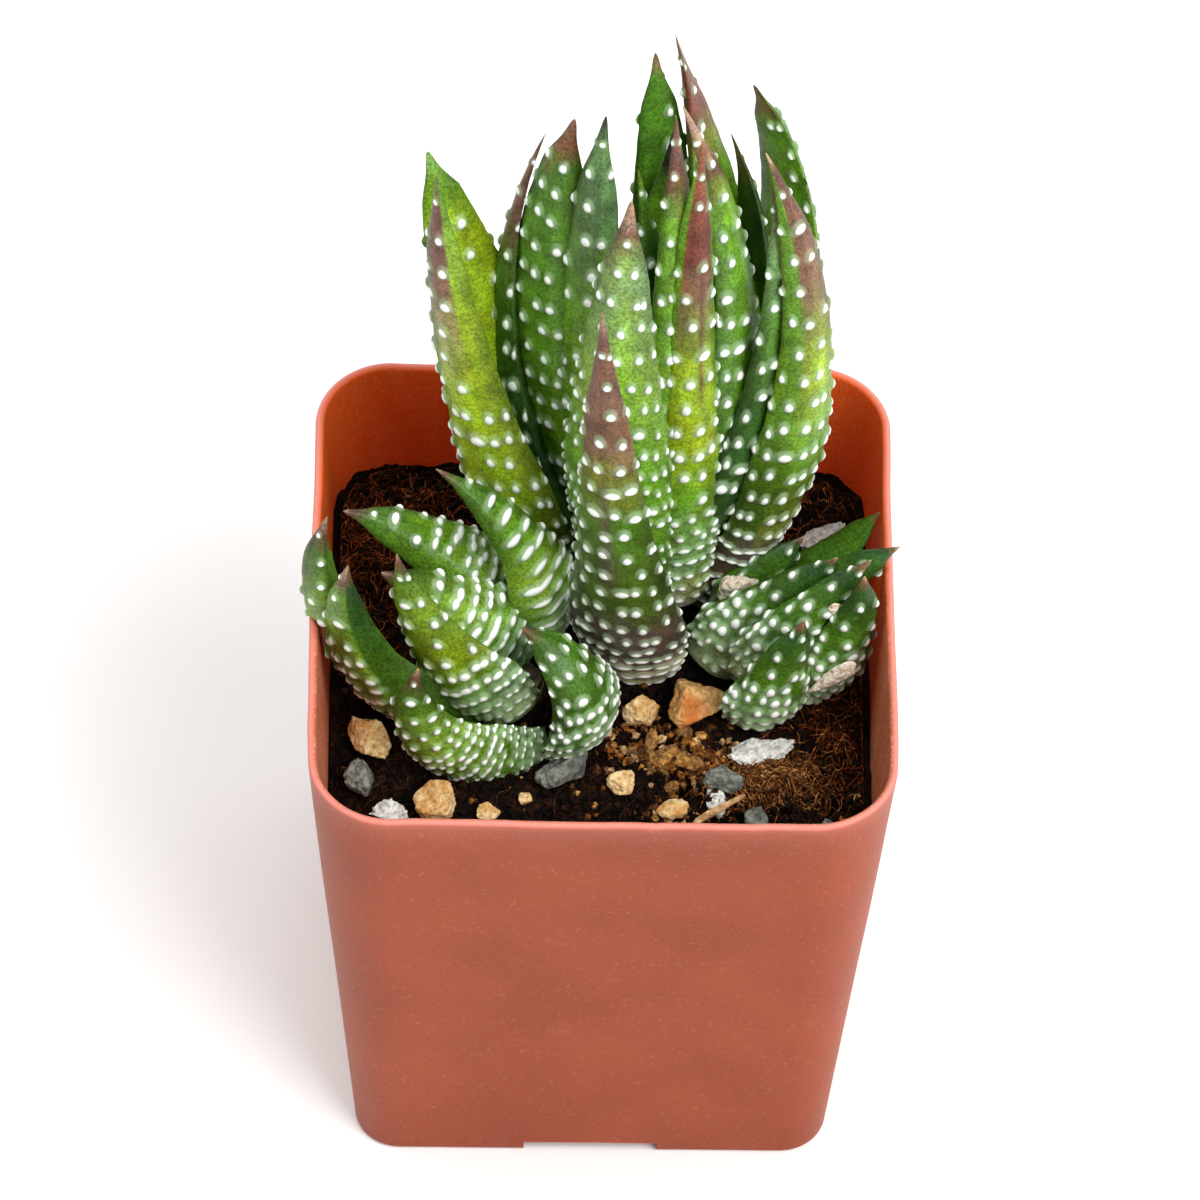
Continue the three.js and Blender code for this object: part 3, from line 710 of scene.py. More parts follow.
# %% Strew the fibres
RUST = hex_tones("#8A4420 #A3521F #6A3014 #B5652E #4C220F #C87F41")
BARK = hex_tones("#2C180E #402414 #1E0F08 #5A3A20")
CLOD = hex_tones("#D09050 #A86C34 #E8B070 #7A4A20 #B87C3C")
rng = np.random.default_rng(42)
back_bundles = [
    fibre_bundle(rng, 620, (-19, 18), (5, 5), 4.2, 0.10, RUST),
    fibre_bundle(rng, 260, (-22, 9), (2.5, 5), 3.8, 0.10, RUST),
    fibre_bundle(rng, 260, (21, 18), (3.5, 5), 4.0, 0.10, RUST),
    fibre_bundle(rng, 260, (2, 23.5), (9, 2), 4.0, 0.10, BARK),
    fibre_bundle(rng, 220, (0, 4), (13, 13), 4.5, 0.09, BARK, lift=0.3),
]
front_bundles = [
    fibre_bundle(rng, 700, (15.9, -12.4), (2.2, 1.3), 3.6, 0.12, CLOD, lift=0.6),
    fibre_bundle(rng, 300, (22.4, -6.5), (2.0, 4.2), 3.8, 0.10, RUST),
    fibre_bundle(rng, 200, (18, -19), (4.5, 2.6), 4.0, 0.10, BARK),
    fibre_bundle(rng, 220, (-20.5, -12.5), (2.6, 4.5), 3.0, 0.09, BARK),
    fibre_bundle(rng, 160, (-15, -20), (4.5, 2.0), 3.0, 0.09, BARK),
    fibre_bundle(rng, 420, (2, -14), (9, 5), 3.4, 0.08, BARK, lift=0.3),
]
strewn("coir_fibres_back", back_bundles, fibre_coat)
strewn("coir_fibres_front", front_bundles, fibre_coat)


# %% Crumbs
CRUMB_ROWS, CRUMB_COLUMNS = 4, 6
PIT_CLEAR = 1.4  # no crumb lies nearer to the middle of the pit


def sphere_grid(rows, columns):
    """Directions from the middle of a sphere: rows from its foot to its top, columns round it."""
    polar = (np.arange(rows) + 0.5) / rows * np.pi
    turn = np.arange(columns) / columns * 2 * np.pi
    return np.stack([
        np.sin(polar)[:, None] * np.cos(turn),
        np.sin(polar)[:, None] * np.sin(turn),
        -np.cos(polar)[:, None] + 0 * turn,
    ], -1)


def crumb_lot(rng, count, centre, spread, size, tones):
    """Jagged lumps: a coarse sphere grid, each point at a random 0.5 to 1.3 of the radius.

    Gives the points and tones of every crumb, and the faces of one.
    """
    shape, faces = capped(sphere_grid(CRUMB_ROWS, CRUMB_COLUMNS))
    shape[-2:] = [[0, 0, -1], [0, 0, 1]]
    at = inside_pot(centre + rng.normal(0, 1, (count, 2)) * spread, half=CRUMB_HALF)
    off = at - PIT
    reach = np.maximum(np.hypot(*off.T), 0.01)[:, None]
    at = np.where(reach < PIT_CLEAR, PIT + off / reach * (PIT_CLEAR + 0.3 * reach), at)
    radii = size / 2 * rng.uniform(0.35, 1, (count, 1)) * rng.uniform(0.7, 1.2, (count, 3))
    lumps = shape * rng.uniform(0.5, 1.3, (count, len(shape), 1)) * radii[:, None]
    spin, tip = rng.uniform(0, 2 * np.pi, (2, count, 1))
    x, y, z = lumps[..., 0], lumps[..., 1], lumps[..., 2]
    y, z = y * np.cos(tip) - z * np.sin(tip), y * np.sin(tip) + z * np.cos(tip)
    x, y = x * np.cos(spin) - y * np.sin(spin), x * np.sin(spin) + y * np.cos(spin)
    z = z + (soil_height(at[:, 0], at[:, 1]) + 0.3 * radii[:, 2])[:, None]
    points = np.stack([x + at[:, :1], y + at[:, 1:], z], -1)
    shade = rng.uniform(0.65, 1.1, (count, 1)) * tones[rng.integers(0, len(tones), count)]
    return points, np.repeat(shade[:, None], len(shape), 1), faces


EARTH = hex_tones("#140A05 #24120A #0A0603 #341C0E #1A0D07")
GOLD = hex_tones("#C4893F #A8692B #D9A860 #8A5A2A #E2C08A #6E4A26")
strewn("mix_crumbs_dark", [
    crumb_lot(rng, 1100, (0, 0), (14, 14), 1.2, EARTH),
    crumb_lot(rng, 400, (0, -19), (14, 3.4), 1.2, EARTH),
    crumb_lot(rng, 260, (0, 22), (14, 2.4), 1.2, EARTH),
], fibre_coat, flat=True)
strewn("mix_crumbs_golden", [
    crumb_lot(rng, 110, (6.4, -9.2), (3.2, 1.3), 1.3, GOLD),
    crumb_lot(rng, 60, (1.4, -6.6), (3.4, 1.6), 1.2, GOLD),
    crumb_lot(rng, 60, (9.8, -10.8), (2.0, 1.4), 1.2, GOLD),
    crumb_lot(rng, 110, (0, 0), (15, 15), 0.9, GOLD),
    crumb_lot(rng, 34, (6.4, -16.4), (1.5, 0.7), 1.1, GOLD),
    crumb_lot(rng, 40, (-2, -14.5), (8, 3), 0.8, GOLD),
], fibre_coat, flat=True)


# %% [markdown]
# ## Stones, grit and flakes
#
# Pumice is a frothy volcanic stone: its broken faces are flat in the large and full of
# pits in the small. A stone is worked out on a sphere's grid. In each direction its radius
# is the distance to the nearest of some random planes, softened so that the edges are
# worn, plus noise. The pale flakes are the same shape with a smaller height and a curl.

# %% Stone shapes
STONE_GRID, CHIP_GRID = (64, 90), (32, 46)  # rows and columns
EDGE_SHARPNESS = 30  # power of the soft minimum: a higher one gives sharper edges
LONGEST_REACH, MEAN_REACH = 1.25, 1.15


def stone_points(at, size, turn, seed, planes=9, pits=0.06, curl=0.0, wedge=0.0, grid=STONE_GRID):
    """Radius = soft minimum over planes of reach / (normal · direction), times 1 + noise.

    The result is scaled to the size, curled, turned and moved. `wedge` draws the stone out to
    an edge towards −X, and turns that edge down by as many degrees.
    """
    rng = np.random.default_rng(seed)
    way = sphere_grid(*grid)
    normals = rng.normal(0, 1, (planes, 3))
    normals /= np.linalg.norm(normals, axis=1, keepdims=True)
    reach = rng.uniform(0.66, 1.0, planes)
    facing = np.maximum(way @ normals.T, 0.02) / reach
    radius = np.sum(facing ** EDGE_SHARPNESS, axis=-1) ** (-1 / EDGE_SHARPNESS)
    radius = np.minimum(radius, LONGEST_REACH) / MEAN_REACH
    radius *= 1 + 0.1 * fractal(way * 1.3 + seed, seed + 1, octaves=2)
    radius *= 1 + pits * fractal(way * 4 + seed, seed, octaves=4, fade=0.65)
    points = way * radius[..., None] * np.array(size) / 2
    points[..., 2] += curl * ((points[..., 0] / size[0] * 2) ** 2 - 0.4)
    if wedge:
        points[..., 2] *= np.clip(0.55 + points[..., 0] / size[0], 0.06, 1)
        x, z, b = points[..., 0], points[..., 2], math.radians(wedge)
        points[..., 0], points[..., 2] = (
            x * math.cos(b) - z * math.sin(b), x * math.sin(b) + z * math.cos(b))
    a = math.radians(turn)
    x = points[..., 0] * math.cos(a) - points[..., 1] * math.sin(a)
    y = points[..., 0] * math.sin(a) + points[..., 1] * math.cos(a)
    return np.stack([x + at[0], y + at[1], points[..., 2] + at[2]], -1)


# %% [markdown]
# ### Pumice, grit and pale flakes
#
# All three are matt minerals. The pumice is tan to golden where iron has stained it, with
# pits of about 0.6 mm; the grit is a cool grey with dark grains; the flakes are
# chalky white with grey streaks. One function makes these materials from two colours and a
# stain, because they differ in nothing else. The bits of dry husk, twig and bark that lie
# among the stones are as matt and as pitted, so it makes theirs too.


# %% Stone materials
def mineral(name, low, high, stain, stain_from):
    """Matt stone: two colours by 0.7 mm noise, a stain by 3 mm noise, pits in the bump, painted
    shade in the pits.
    """
    material, tree, surface = new_material(name, {"Roughness": 0.85})
    place = add(tree, "ShaderNodeTexCoord").outputs["Object"]
    grain = add(tree, "ShaderNodeTexNoise", {
        "Vector": place, "Scale": 1400, "Detail": 5, "Roughness": 0.65})
    share = add(tree, "ShaderNodeMapRange", {
        "Value": grain.outputs[0], "From Min": 0.38, "From Max": 0.62})
    colour = add(tree, "ShaderNodeMix",
                 {FACTOR: share.outputs[0], COLOUR_A: linear(low), COLOUR_B: linear(high)},
                 data_type="RGBA").outputs[MIXED]
    cloud = add(tree, "ShaderNodeTexNoise", {"Vector": place, "Scale": 330, "Detail": 3})
    stained = add(tree, "ShaderNodeMapRange", {
        "Value": cloud.outputs[0], "From Min": stain_from, "From Max": stain_from + 0.2})
    colour = add(tree, "ShaderNodeMix",
                 {FACTOR: stained.outputs[0], COLOUR_A: colour, COLOUR_B: linear(stain)},
                 data_type="RGBA").outputs[MIXED]
    pits = add(tree, "ShaderNodeTexVoronoi", {"Vector": place, "Scale": 1700})
    # Painted shade: the pits are darkened in the colour.
    hollow = add(tree, "ShaderNodeMapRange", {
        "Value": pits.outputs[0], "From Min": 0.05, "From Max": 0.4, "To Min": 0.55, "To Max": 1.0})
    colour = add(tree, "ShaderNodeMix",
                 {FACTOR: 1.0, COLOUR_A: colour, COLOUR_B: hollow.outputs[0]}, data_type="RGBA",
                 blend_type="MULTIPLY").outputs[MIXED]
    tree.links.new(colour, surface.inputs["Base Color"])
    height = add(tree, "ShaderNodeMath", {
        0: pits.outputs[0], 1: grain.outputs[0]}, operation="ADD")
    bump = add(tree, "ShaderNodeBump", {
        "Height": height.outputs[0], "Strength": 0.7, "Distance": 0.3 * MM})
    tree.links.new(bump.outputs[0], surface.inputs["Normal"])
    return material


MINERALS = {
    "stained": mineral("pumice_iron_stained", "#B07C3C", "#E2B474", "#B4692A", 0.46),
    "pumice": mineral("pumice_weathered", "#BE9455", "#EBCF9C", "#C58C42", 0.52),
    "grit": mineral("grit_grey_granite", "#4C5049", "#84867C", "#33362F", 0.52),
    "flake": mineral("perlite_flake", "#A6A6A0", "#E2E1DA", "#6C6C64", 0.58),
    "husk": mineral("dry_leaf_husk", "#D6C0A4", "#F4EADB", "#B9846E", 0.58),
    "twig": mineral("twig_bark", "#9A7048", "#D0A878", "#6A4426", 0.55),
}

# %% Lay the stones
STONE_SEED, LOOSE_SEED, CHIP_SEED = 100, 300, 400
STONE_LIFT, STONE_SEAT = 0.3, 0.3  # mm over the mix, and the middle's share of the height
# Size beside the CAD solid's, number of planes, depth of the pits, and curl in mm.
FLAKE_FORM, STONE_FORM = (0.92, 5, 0.11, 0.8), (1.04, 10, 0.06, 0)
for number, (name, at, size, turn) in enumerate(STONES):
    kind = name[:-3]
    scale, planes, pits, curl = FLAKE_FORM if kind == "flake" else STONE_FORM
    centre = (*at, SOIL_LEVEL + STONE_LIFT + STONE_SEAT * size[2])
    spot = stone_points(centre, np.array(size) * scale, turn, STONE_SEED + number, planes, pits,
                        curl)
    finish = MINERALS["stained" if name == "pumice_01" else kind]
    piece(name + "_stone", *capped(spot), finish, kind, nodes=[name])
LOOSE = [  # name, kind, centre, size, turn, wedge
    ("husk_chip_on_leaf", "husk", (13.0, 5.1, 54.1), (3.7, 2.8, 2.8), 30, 0),
    ("husk_in_right_offset", "husk", (22.0, -1.8, 59.3), (1.6, 0.9, 2.6), 0, 0),
    ("husk_on_right_offset", "husk", (22.0, -4.9, 53.4), (5.4, 1.0, 3.9), 8, 38),
    ("pumice_chip_right", "pumice", (22.6, 5.4, 48.4), (1.8, 2.0, 1.6), 10, 0),
    ("pumice_chip_by_stem", "pumice", (9.4, 3.2, 48.0), (1.0, 1.0, 0.8), 10, 0),
    ("pumice_chip_front", "pumice", (-10.6, -17.0, 47.6), (2.2, 1.8, 1.5), 15, 0),
    ("pumice_chip_front_small", "pumice", (-7.2, -15.2, 47.3), (1.7, 1.4, 1.1), 75, 0),
    ("grit_chip_front", "grit", (14.8, -17.2, 47.4), (2.4, 3.0, 1.6), 0, 0),
    ("grit_chip_corner", "grit", (21.4, -18.6, 47.4), (2.6, 2.2, 1.8), 20, 0),
    ("bark_flake", "flake", (10.8, -14.6, 47.2), (2.0, 4.4, 1.0), 8, 0),
    ("dry_twig", "twig", (10.8, -17.0, 48.3), (5.8, 0.8, 0.7), 34, 0),
]
for number, (name, kind, centre, size, turn, wedge) in enumerate(LOOSE):
    slot = {"twig": "potting_mix", "husk": "flake"}.get(kind, kind)
    spot = stone_points(centre, size, turn, LOOSE_SEED + number, wedge=wedge)
    piece(name, *capped(spot), MINERALS[kind], slot)

# %% Golden bits of bark between the stones at the front
CHIP_PATCH, CHIP_SPREAD, CHIP_COUNT = (7.2, -9.8), (2.3, 1.2), 26
CHIP_SEAT, CHIP_PLANES, CHIP_PITS = 0.25, 7, 0.14
chips = []
for number in range(CHIP_COUNT):
    x, y = np.array(CHIP_PATCH) + rng.normal(0, 1, 2) * CHIP_SPREAD
    size = rng.uniform(0.9, 2.4) * rng.uniform([0.8, 0.6, 0.5], [1.2, 1.0, 0.9])
    centre = (x, y, float(soil_height(x, y)) + CHIP_SEAT * size[2])
    chips.append(stone_points(centre, size, rng.uniform(0, 180), CHIP_SEED + number,
                              CHIP_PLANES, CHIP_PITS, grid=CHIP_GRID))
every = [capped(spot) for spot in chips]
count = len(every[0][0])
piece("golden_bark_chips", np.concatenate([points for points, _ in every]),
      [repeated(group, count, CHIP_COUNT) for group in every[0][1]],
      mineral("golden_bark", "#5E3C18", "#BC863E", "#2A180A", 0.5), "potting_mix")
print(len(STONES) + len(LOOSE), "stones and flakes")

# %% [markdown]
# ## The leaves
#
# A haworthia leaf is a thick blade: flat or slightly hollow on its inner face, rounded and
# keeled on its back, widest low down and drawn out to a dry point. The centre line bends
# from one lean to another, and the blade may be rolled about it.
#
# The blade is a grid. Along it runs the centre line, worked out by adding up short steps in
# the leaf's direction. Round it runs the section: half a superellipse for the back and a
# shallow arc for the inner face. Tubercles could be separate beads, but on the plant they
# grow out of the skin and melt into wavy bands near the foot. So they are a height over
# the grid, the highest of many small domes at each point. The grid's cells are 0.2 mm on
# the back, 0.3 mm on leaves that others hide, and 0.7 mm round a smooth inner face, which
# spends the faces where the relief is.
#
# Each blade is worked out whole. The CAD solids are cut clear of each other, and these are
# not: deep in a rosette, neighbours run through one another.

# %% Tones of the skin
TONES = {
    "lime": "#93B01E", "leaf": "#689A24", "deep": "#4A761E", "mist": "#7A9C64", "dark": "#2A5022",
    "olive": "#76802C", "khaki": "#A0A45A", "moss": "#48641C", "brown": "#7C5C44",
    "fresh": "#86AE38",
    "purple": "#714C40", "maroon": "#6E342C", "soot": "#2C2E24", "bark": "#5C5046",
    "teal": "#587C46",
    "scar": "#B0A28A", "pale": "#A9BC92", "rust": "#8A5436", "straw": "#C9B48E", "hair": "#B4927E",
}
TONES = {name: linear(value) for name, value in TONES.items()}


def tone_ramp(text, s):
    """Colour at share s of a leaf, blended between the stops of '0 bark .2 leaf 1 purple'."""
    words = text.split()
    stops = [float(w) for w in words[::2]]
    colours = np.array([TONES[w] for w in words[1::2]])
    return np.stack([np.interp(s, stops, colours[:, k]) for k in range(3)], -1)


# %% The leaves' own numbers
LEAVES = []


def leaf(name, foot, azimuth, length, lean, tip_lean, drift, width, roll, widest,
         back="0 bark .08 moss .2 deep .45 leaf .9 leaf 1 brown",
         inner="0 moss .3 leaf .95 leaf 1 brown",
         panel=None, stripe=None, bare=(2, 2), bare_from=0.0, keel=(0, 1.7), blunt=0.0, dots=1.0,
         bands=0.2, arcs=1.0, lines=0.0, inner_dots=None):
    """One leaf: the CAD's numbers in millimetres and degrees, then its look.

    A place across the back goes from -1 to 1, and a share of the length from 0 to 1.
    `back` and `inner` are the tones of the two faces, from the foot to the tip.
    `panel` is (from, to, tones): a part of the back between two places, with its own tones.
    `stripe` is (centre, half width, from share, to share, tone).
    `bare` is the strip without tubercles, above the share `bare_from`.
    `keel` is the place across and the exponent of the back's section.
    `blunt` rounds the tip.
    `dots` packs the tubercles closer, and `arcs` draws them out across the leaf.
    Up to the share `bands` they run together, and up to the share `lines` they are thin wavy
    lines.
    `inner_dots` is the strip of the inner face that has tubercles too.
    """
    LEAVES.append(dict(locals()))  # at this point they are exactly the arguments


leaf("main_leaf_01", (-0.5, -7.5, -1), -105, 59, 22, 4, -5, 11.4, 0, 0.18,
     back="0 scar .07 scar .1 bark .2 bark .28 moss .38 moss .5 deep .62 olive .7 brown"
          " .93 purple 1 hair",
     stripe=(0.1, 0.2, 0.3, 0.66, "bark"), bands=0.19, blunt=-0.5, lines=0.1)
leaf("main_leaf_02", (6.2, 0, 0.5), 0, 59, 29, -20, 0, 8.6, -55, 0.36,
     back="0 bark .16 bark .22 olive .28 moss .4 leaf .55 lime .64 olive .74 brown"
          " .95 purple 1 straw",
     panel=(0.45, 1, "0 bark .15 bark .22 moss .5 leaf .9 leaf 1 brown"), lines=0.17)
leaf("main_leaf_03", (-6.5, -0.5, 0.5), -175, 58, 24, 2, 0, 10.5, 50, 0.3,
     back="0 bark .1 brown .2 olive .3 lime .56 lime .66 khaki .76 brown .84 purple"
          " .95 purple 1 leaf",
     panel=(-1.2, -0.45, "0 bark .12 olive .3 lime .7 lime .9 fresh 1 leaf"),
     stripe=(0.85, 0.25, 0.1, 0.9, "deep"),
     bare=(-1, -0.52), bare_from=0.5, lines=0.17)
leaf("main_leaf_04", (3.5, -2.5, 3), -35, 59, 0, 3, 0, 8.2, -35, 0.27,
     back="0 scar .08 pale .2 mist .34 leaf .9 leaf 1 maroon",
     panel=(-0.8, 0.7, "0 scar .08 mist .26 leaf .34 lime .52 lime .6 olive .68 brown"
                       " .8 maroon 1 rust"),
     stripe=(-0.28, 0.1, 0.42, 0.8, "maroon"))
leaf("main_leaf_05", (-1, -3.5, 4), -110, 53, 18, -14, 0, 10.5, 0, 0.45,
     back="0 moss .2 leaf .5 leaf .66 fresh .88 mist .95 brown 1 hair", blunt=0.5, dots=1.35)
leaf("main_leaf_06", (2.5, 0.5, 3), 0, 52, 28, -8, 0, 9, -40, 0.3,
     back="0 moss .3 dark .7 deep .9 mist 1 brown")
leaf("main_leaf_07", (3, 0.5, 5), 10, 59, 20, -20, 0, 9, -40, 0.35,
     back="0 moss .3 deep .8 leaf .86 purple 1 hair")
leaf("main_leaf_08", (1.5, -1.5, 6), -35, 58, 4, -2, 0, 8.5, -20, 0.3,
     back="0 moss .3 leaf .78 leaf .88 purple 1 purple")
leaf("main_leaf_09", (-2, 0, 4.5), -170, 58, 10, -6, 0, 9.5, 50, 0.4,
     back="0 moss .3 leaf .6 leaf .8 teal .94 teal 1 soot", blunt=0.4)
leaf("main_leaf_10", (-2, 1, 4), 170, 57, 22, -12, 0, 10.5, 70, 0.45, dots=1.15,
     back="0 moss .3 leaf .9 deep .96 rust 1 brown", bare=(-1, -0.6), keel=(-0.3, 1.5), blunt=0.8)
leaf("main_leaf_11", (-5, 1, 2), 170, 54, 20, 14, -5, 11, -45, 0.4, blunt=0.8,
     inner="0 moss .3 leaf .5 lime .8 lime .93 leaf 1 mist", inner_dots=(0.2, 0.7))
leaf("main_leaf_12", (-3.2, 1.5, 3), 162, 56, 33, -19, 0, 11.5, 25, 0.4,
     back="0 moss .3 dark .7 deep .8 purple 1 purple",
     inner="0 moss .3 dark .75 deep .82 purple 1 purple",
     blunt=-1.4)
leaf("main_leaf_13", (4, 3, 2.5), 35, 60, 36, -22, -5, 9.5, 20, 0.35, blunt=0.9,
     back="0 moss .3 deep .7 leaf .95 leaf 1 rust", inner="0 moss .3 leaf .9 leaf .97 brown 1 rust",
     inner_dots=(0.2, 0.95))
leaf("main_leaf_14", (1, -1, 6), -40, 49, 4, -10, 0, 8, 0, 0.3,
     back="0 moss .3 deep .8 dark .95 leaf 1 brown")
leaf("main_leaf_15", (2.5, 2, 4), 35, 53, 32, -18, 0, 8, 0, 0.35,
     back="0 dark .5 deep .85 dark 1 brown",
     inner="0 dark .5 deep .85 dark 1 brown")
leaf("main_leaf_16", (2.5, 4.5, 3.5), 110, 58, 0, 11, 0, 10, 0, 0.3, blunt=0.8,
     inner_dots=(0, 0.95),
     inner="0 moss .3 deep .96 deep 1 brown")
leaf("main_leaf_17", (5, 1.7, 4), 15, 61, 8, 14, 170, 9.5, 0, 0.35, blunt=0.3,
     back="0 moss .3 leaf .72 leaf .8 olive .87 maroon 1 brown",
     inner="0 moss .3 leaf .72 leaf .8 olive .87 maroon 1 brown",
     inner_dots=(-0.9, 0.1))
leaf("main_leaf_18", (0, 1.5, 5), 70, 50, -6, 20, -5, 9, 0, 0.3,
     inner="0 moss .3 leaf .85 leaf .95 soot 1 soot")
leaf("main_leaf_19", (-3, 4.5, 1.5), 120, 43, 22, -6, 0, 10, 0, 0.3)
leaf("main_leaf_20", (1.5, 5.5, 1.5), 75, 44, 20, -8, 0, 10, 0, 0.3)
leaf("main_leaf_21", (-5.5, 3.5, 1), 150, 38, 28, -4, 0, 9.5, 0, 0.3)
leaf("main_leaf_22", (5, 4.5, 1), 45, 38, 30, -6, 0, 9.5, 0, 0.3)
YOUNG = "0 mist .12 deep .28 leaf .55 fresh .85 deep .94 purple 1 hair"
leaf("left_leaf_01", (4.5, -4.5, 0), -35, 16, 38, -80, 5, 10.5, 0, 0.3, dots=1.7, bands=0.45,
     back="0 pale .15 teal .4 deep .85 deep .95 purple 1 hair")
leaf("left_leaf_02", (2.5, -6.5, 0.5), -160, 24, 90, -16, -5, 9, 80, 0.3, dots=1.6, bands=0.6,
     back=YOUNG)
leaf("left_leaf_03", (0, -3.5, 2.5), 175, 25, 48, 8, 0, 11, 78, 0.25, dots=1.1, bands=0.42,
     blunt=-1.0,
     back="0 pale .16 mist .28 leaf .42 lime .75 fresh .88 leaf .93 purple 1 hair")
leaf("left_leaf_04", (-4.5, -4.5, 0), 175, 28, 62, -10, 0, 8.5, 80, 0.35, dots=1.2, bands=0.5,
     back="0 mist .25 leaf .5 fresh .85 leaf .93 purple 1 hair", bare=(-1, -0.15),
     keel=(-0.15, 1.4),
     panel=(-1.2, -0.25, "0 moss .5 deep .9 dark 1 brown"))
leaf("left_leaf_05", (-8.2, -2, 0.5), 176, 31, 53, -14, 0, 6.8, 75, 0.35, dots=1.2, back=YOUNG,
     bare=(-1, -0.45))
leaf("left_leaf_06", (2.5, 4.5, 2.5), 165, 26, -8, 60, 0, 8, 150, 0.35, bands=1.1, dots=1.1,
     arcs=1.5, blunt=-0.5,
     back="0 pale .2 leaf .4 fresh .6 leaf .9 deep .97 purple 1 hair", bare=(0.55, 1),
     keel=(0.35, 1.4))
leaf("left_leaf_07", (1, 5, 3), 165, 23, 28, 80, 5, 9, 158, 0.35, dots=1.5, bands=0.75, arcs=1.15,
     back="0 mist .3 fresh .6 leaf .9 deep .97 purple 1 hair", bare=(0.35, 1), keel=(0.25, 1.4))
leaf("left_leaf_08", (0, 1.5, 3.5), -170, 21, 34, 44, 5, 9.5, 122, 0.3, dots=1.1, bands=0.7,
     back=YOUNG)
SHADY = "0 pale .18 mist .36 deep .6 deep .9 dark .97 brown 1 hair"
leaf("right_leaf_01", (0, -6.5, 0.5), 5, 15, 16, 18, 0, 9, -76, 0.25, dots=1.2, arcs=1.15,
     bands=0.5, back=SHADY)
leaf("right_leaf_02", (-4, -0.5, 1), 10, 18, 40, 42, 0, 10, -106, 0.28, dots=1.2, arcs=1.2,
     bands=0.6, back=SHADY)
leaf("right_leaf_03", (4, -4, 1), 10, 18, 40, 0, 0, 8, -85, 0.3, dots=1.2, arcs=1.15, bands=0.5,
     back=SHADY)
leaf("right_leaf_04", (0, -3.5, 3), 15, 18, 28, 48, 0, 8.5, -95, 0.3, dots=1.2, arcs=1.15,
     bands=0.6, back=SHADY)
leaf("right_leaf_05", (1.5, 2, 2.5), 0, 18, 30, 54, 0, 8, -100, 0.25, dots=1.2, arcs=1.15,
     bands=0.5, back=SHADY)
leaf("right_leaf_06", (1.5, 4.5, 2), 25, 15, 56, 44, 0, 7, 0, 0.3, dots=1.2, back=SHADY,
     inner="0 moss .3 deep .9 deep 1 brown")
leaf("right_leaf_07", (-2.5, 5, 1.5), 25, 11, 38, 56, 0, 7, -100, 0.3, dots=1.2, back=SHADY)

# %% [markdown]
# ### From a leaf's numbers to its skin
#
# Tubercles stand in rows across the back, and every other row is shifted by half a place, so
# that they also line up in slanting columns. Towards the foot the rows are closer and the
# tubercles wider, until they touch and read as a pale wavy band.

# %% The blade's shape
FOOT_SHARE, TAPER, WAIST = 0.66, 0.62, 0.12
BACK_DEPTH, INNER_DEPTH = 0.6, 0.16  # in half widths
TIP_RADIUS = 0.07
BLUNTING = 0.12  # what a fully blunt leaf takes off the taper and adds to the needle's start
NEEDLE, NEEDLE_FROM, NEEDLE_TO = 0.5, 0.8, 0.98
PATH_STEPS = 400  # steps that the centre line is added up from
BACK_ARC = 2.6  # length round the back, in half widths


def width_share(s, widest, blunt=0.0):
    """A sine swell from 0.66 up to 1 at `widest`, then (1 − t) ** taper with a slim waist.

    The tip is drawn to a needle. A blunt leaf has a smaller exponent, less of a waist and a
    shorter needle, and a drawn-out one, with `blunt` below zero, the opposite.
    """
    swell = FOOT_SHARE + (1 - FOOT_SHARE) * np.sin(np.minimum(s / widest, 1) * np.pi / 2)
    t = np.clip((s - widest) / (1 - widest), 0, 1)
    taper = (1 - t) ** (TAPER - BLUNTING * blunt) * (1 - WAIST * (1 - blunt) * np.sin(np.pi * t))
    needle = 1 - NEEDLE * smooth(NEEDLE_FROM + BLUNTING * blunt, NEEDLE_TO, s)
    return np.where(s < widest, swell, taper * needle)


def back_half(row, s):
    """Half of the blade's width in mm at share s, before the tip's smallest radius."""
    return row["width"] / 2 * width_share(np.asarray(s, float), row["widest"], row["blunt"])


def blade_frame(row, s):
    """Unit vectors at share s, from lean and azimuth: along the leaf, to its inner face, sideways.

    Both angles change evenly from foot to tip, and the last two vectors are rolled.
    """
    a = np.radians(row["azimuth"] + row["drift"] * s)
    tilt = np.radians(row["lean"] + (row["tip_lean"] - row["lean"]) * s)
    along = np.stack([np.sin(tilt) * np.cos(a), np.sin(tilt) * np.sin(a), np.cos(tilt)], -1)
    inner = np.stack([-np.cos(tilt) * np.cos(a), -np.cos(tilt) * np.sin(a), np.sin(tilt)], -1)
    roll = math.radians(row["roll"])
    inner = inner * math.cos(roll) + np.cross(along, inner) * math.sin(roll)
    return along, inner, np.cross(along, inner)


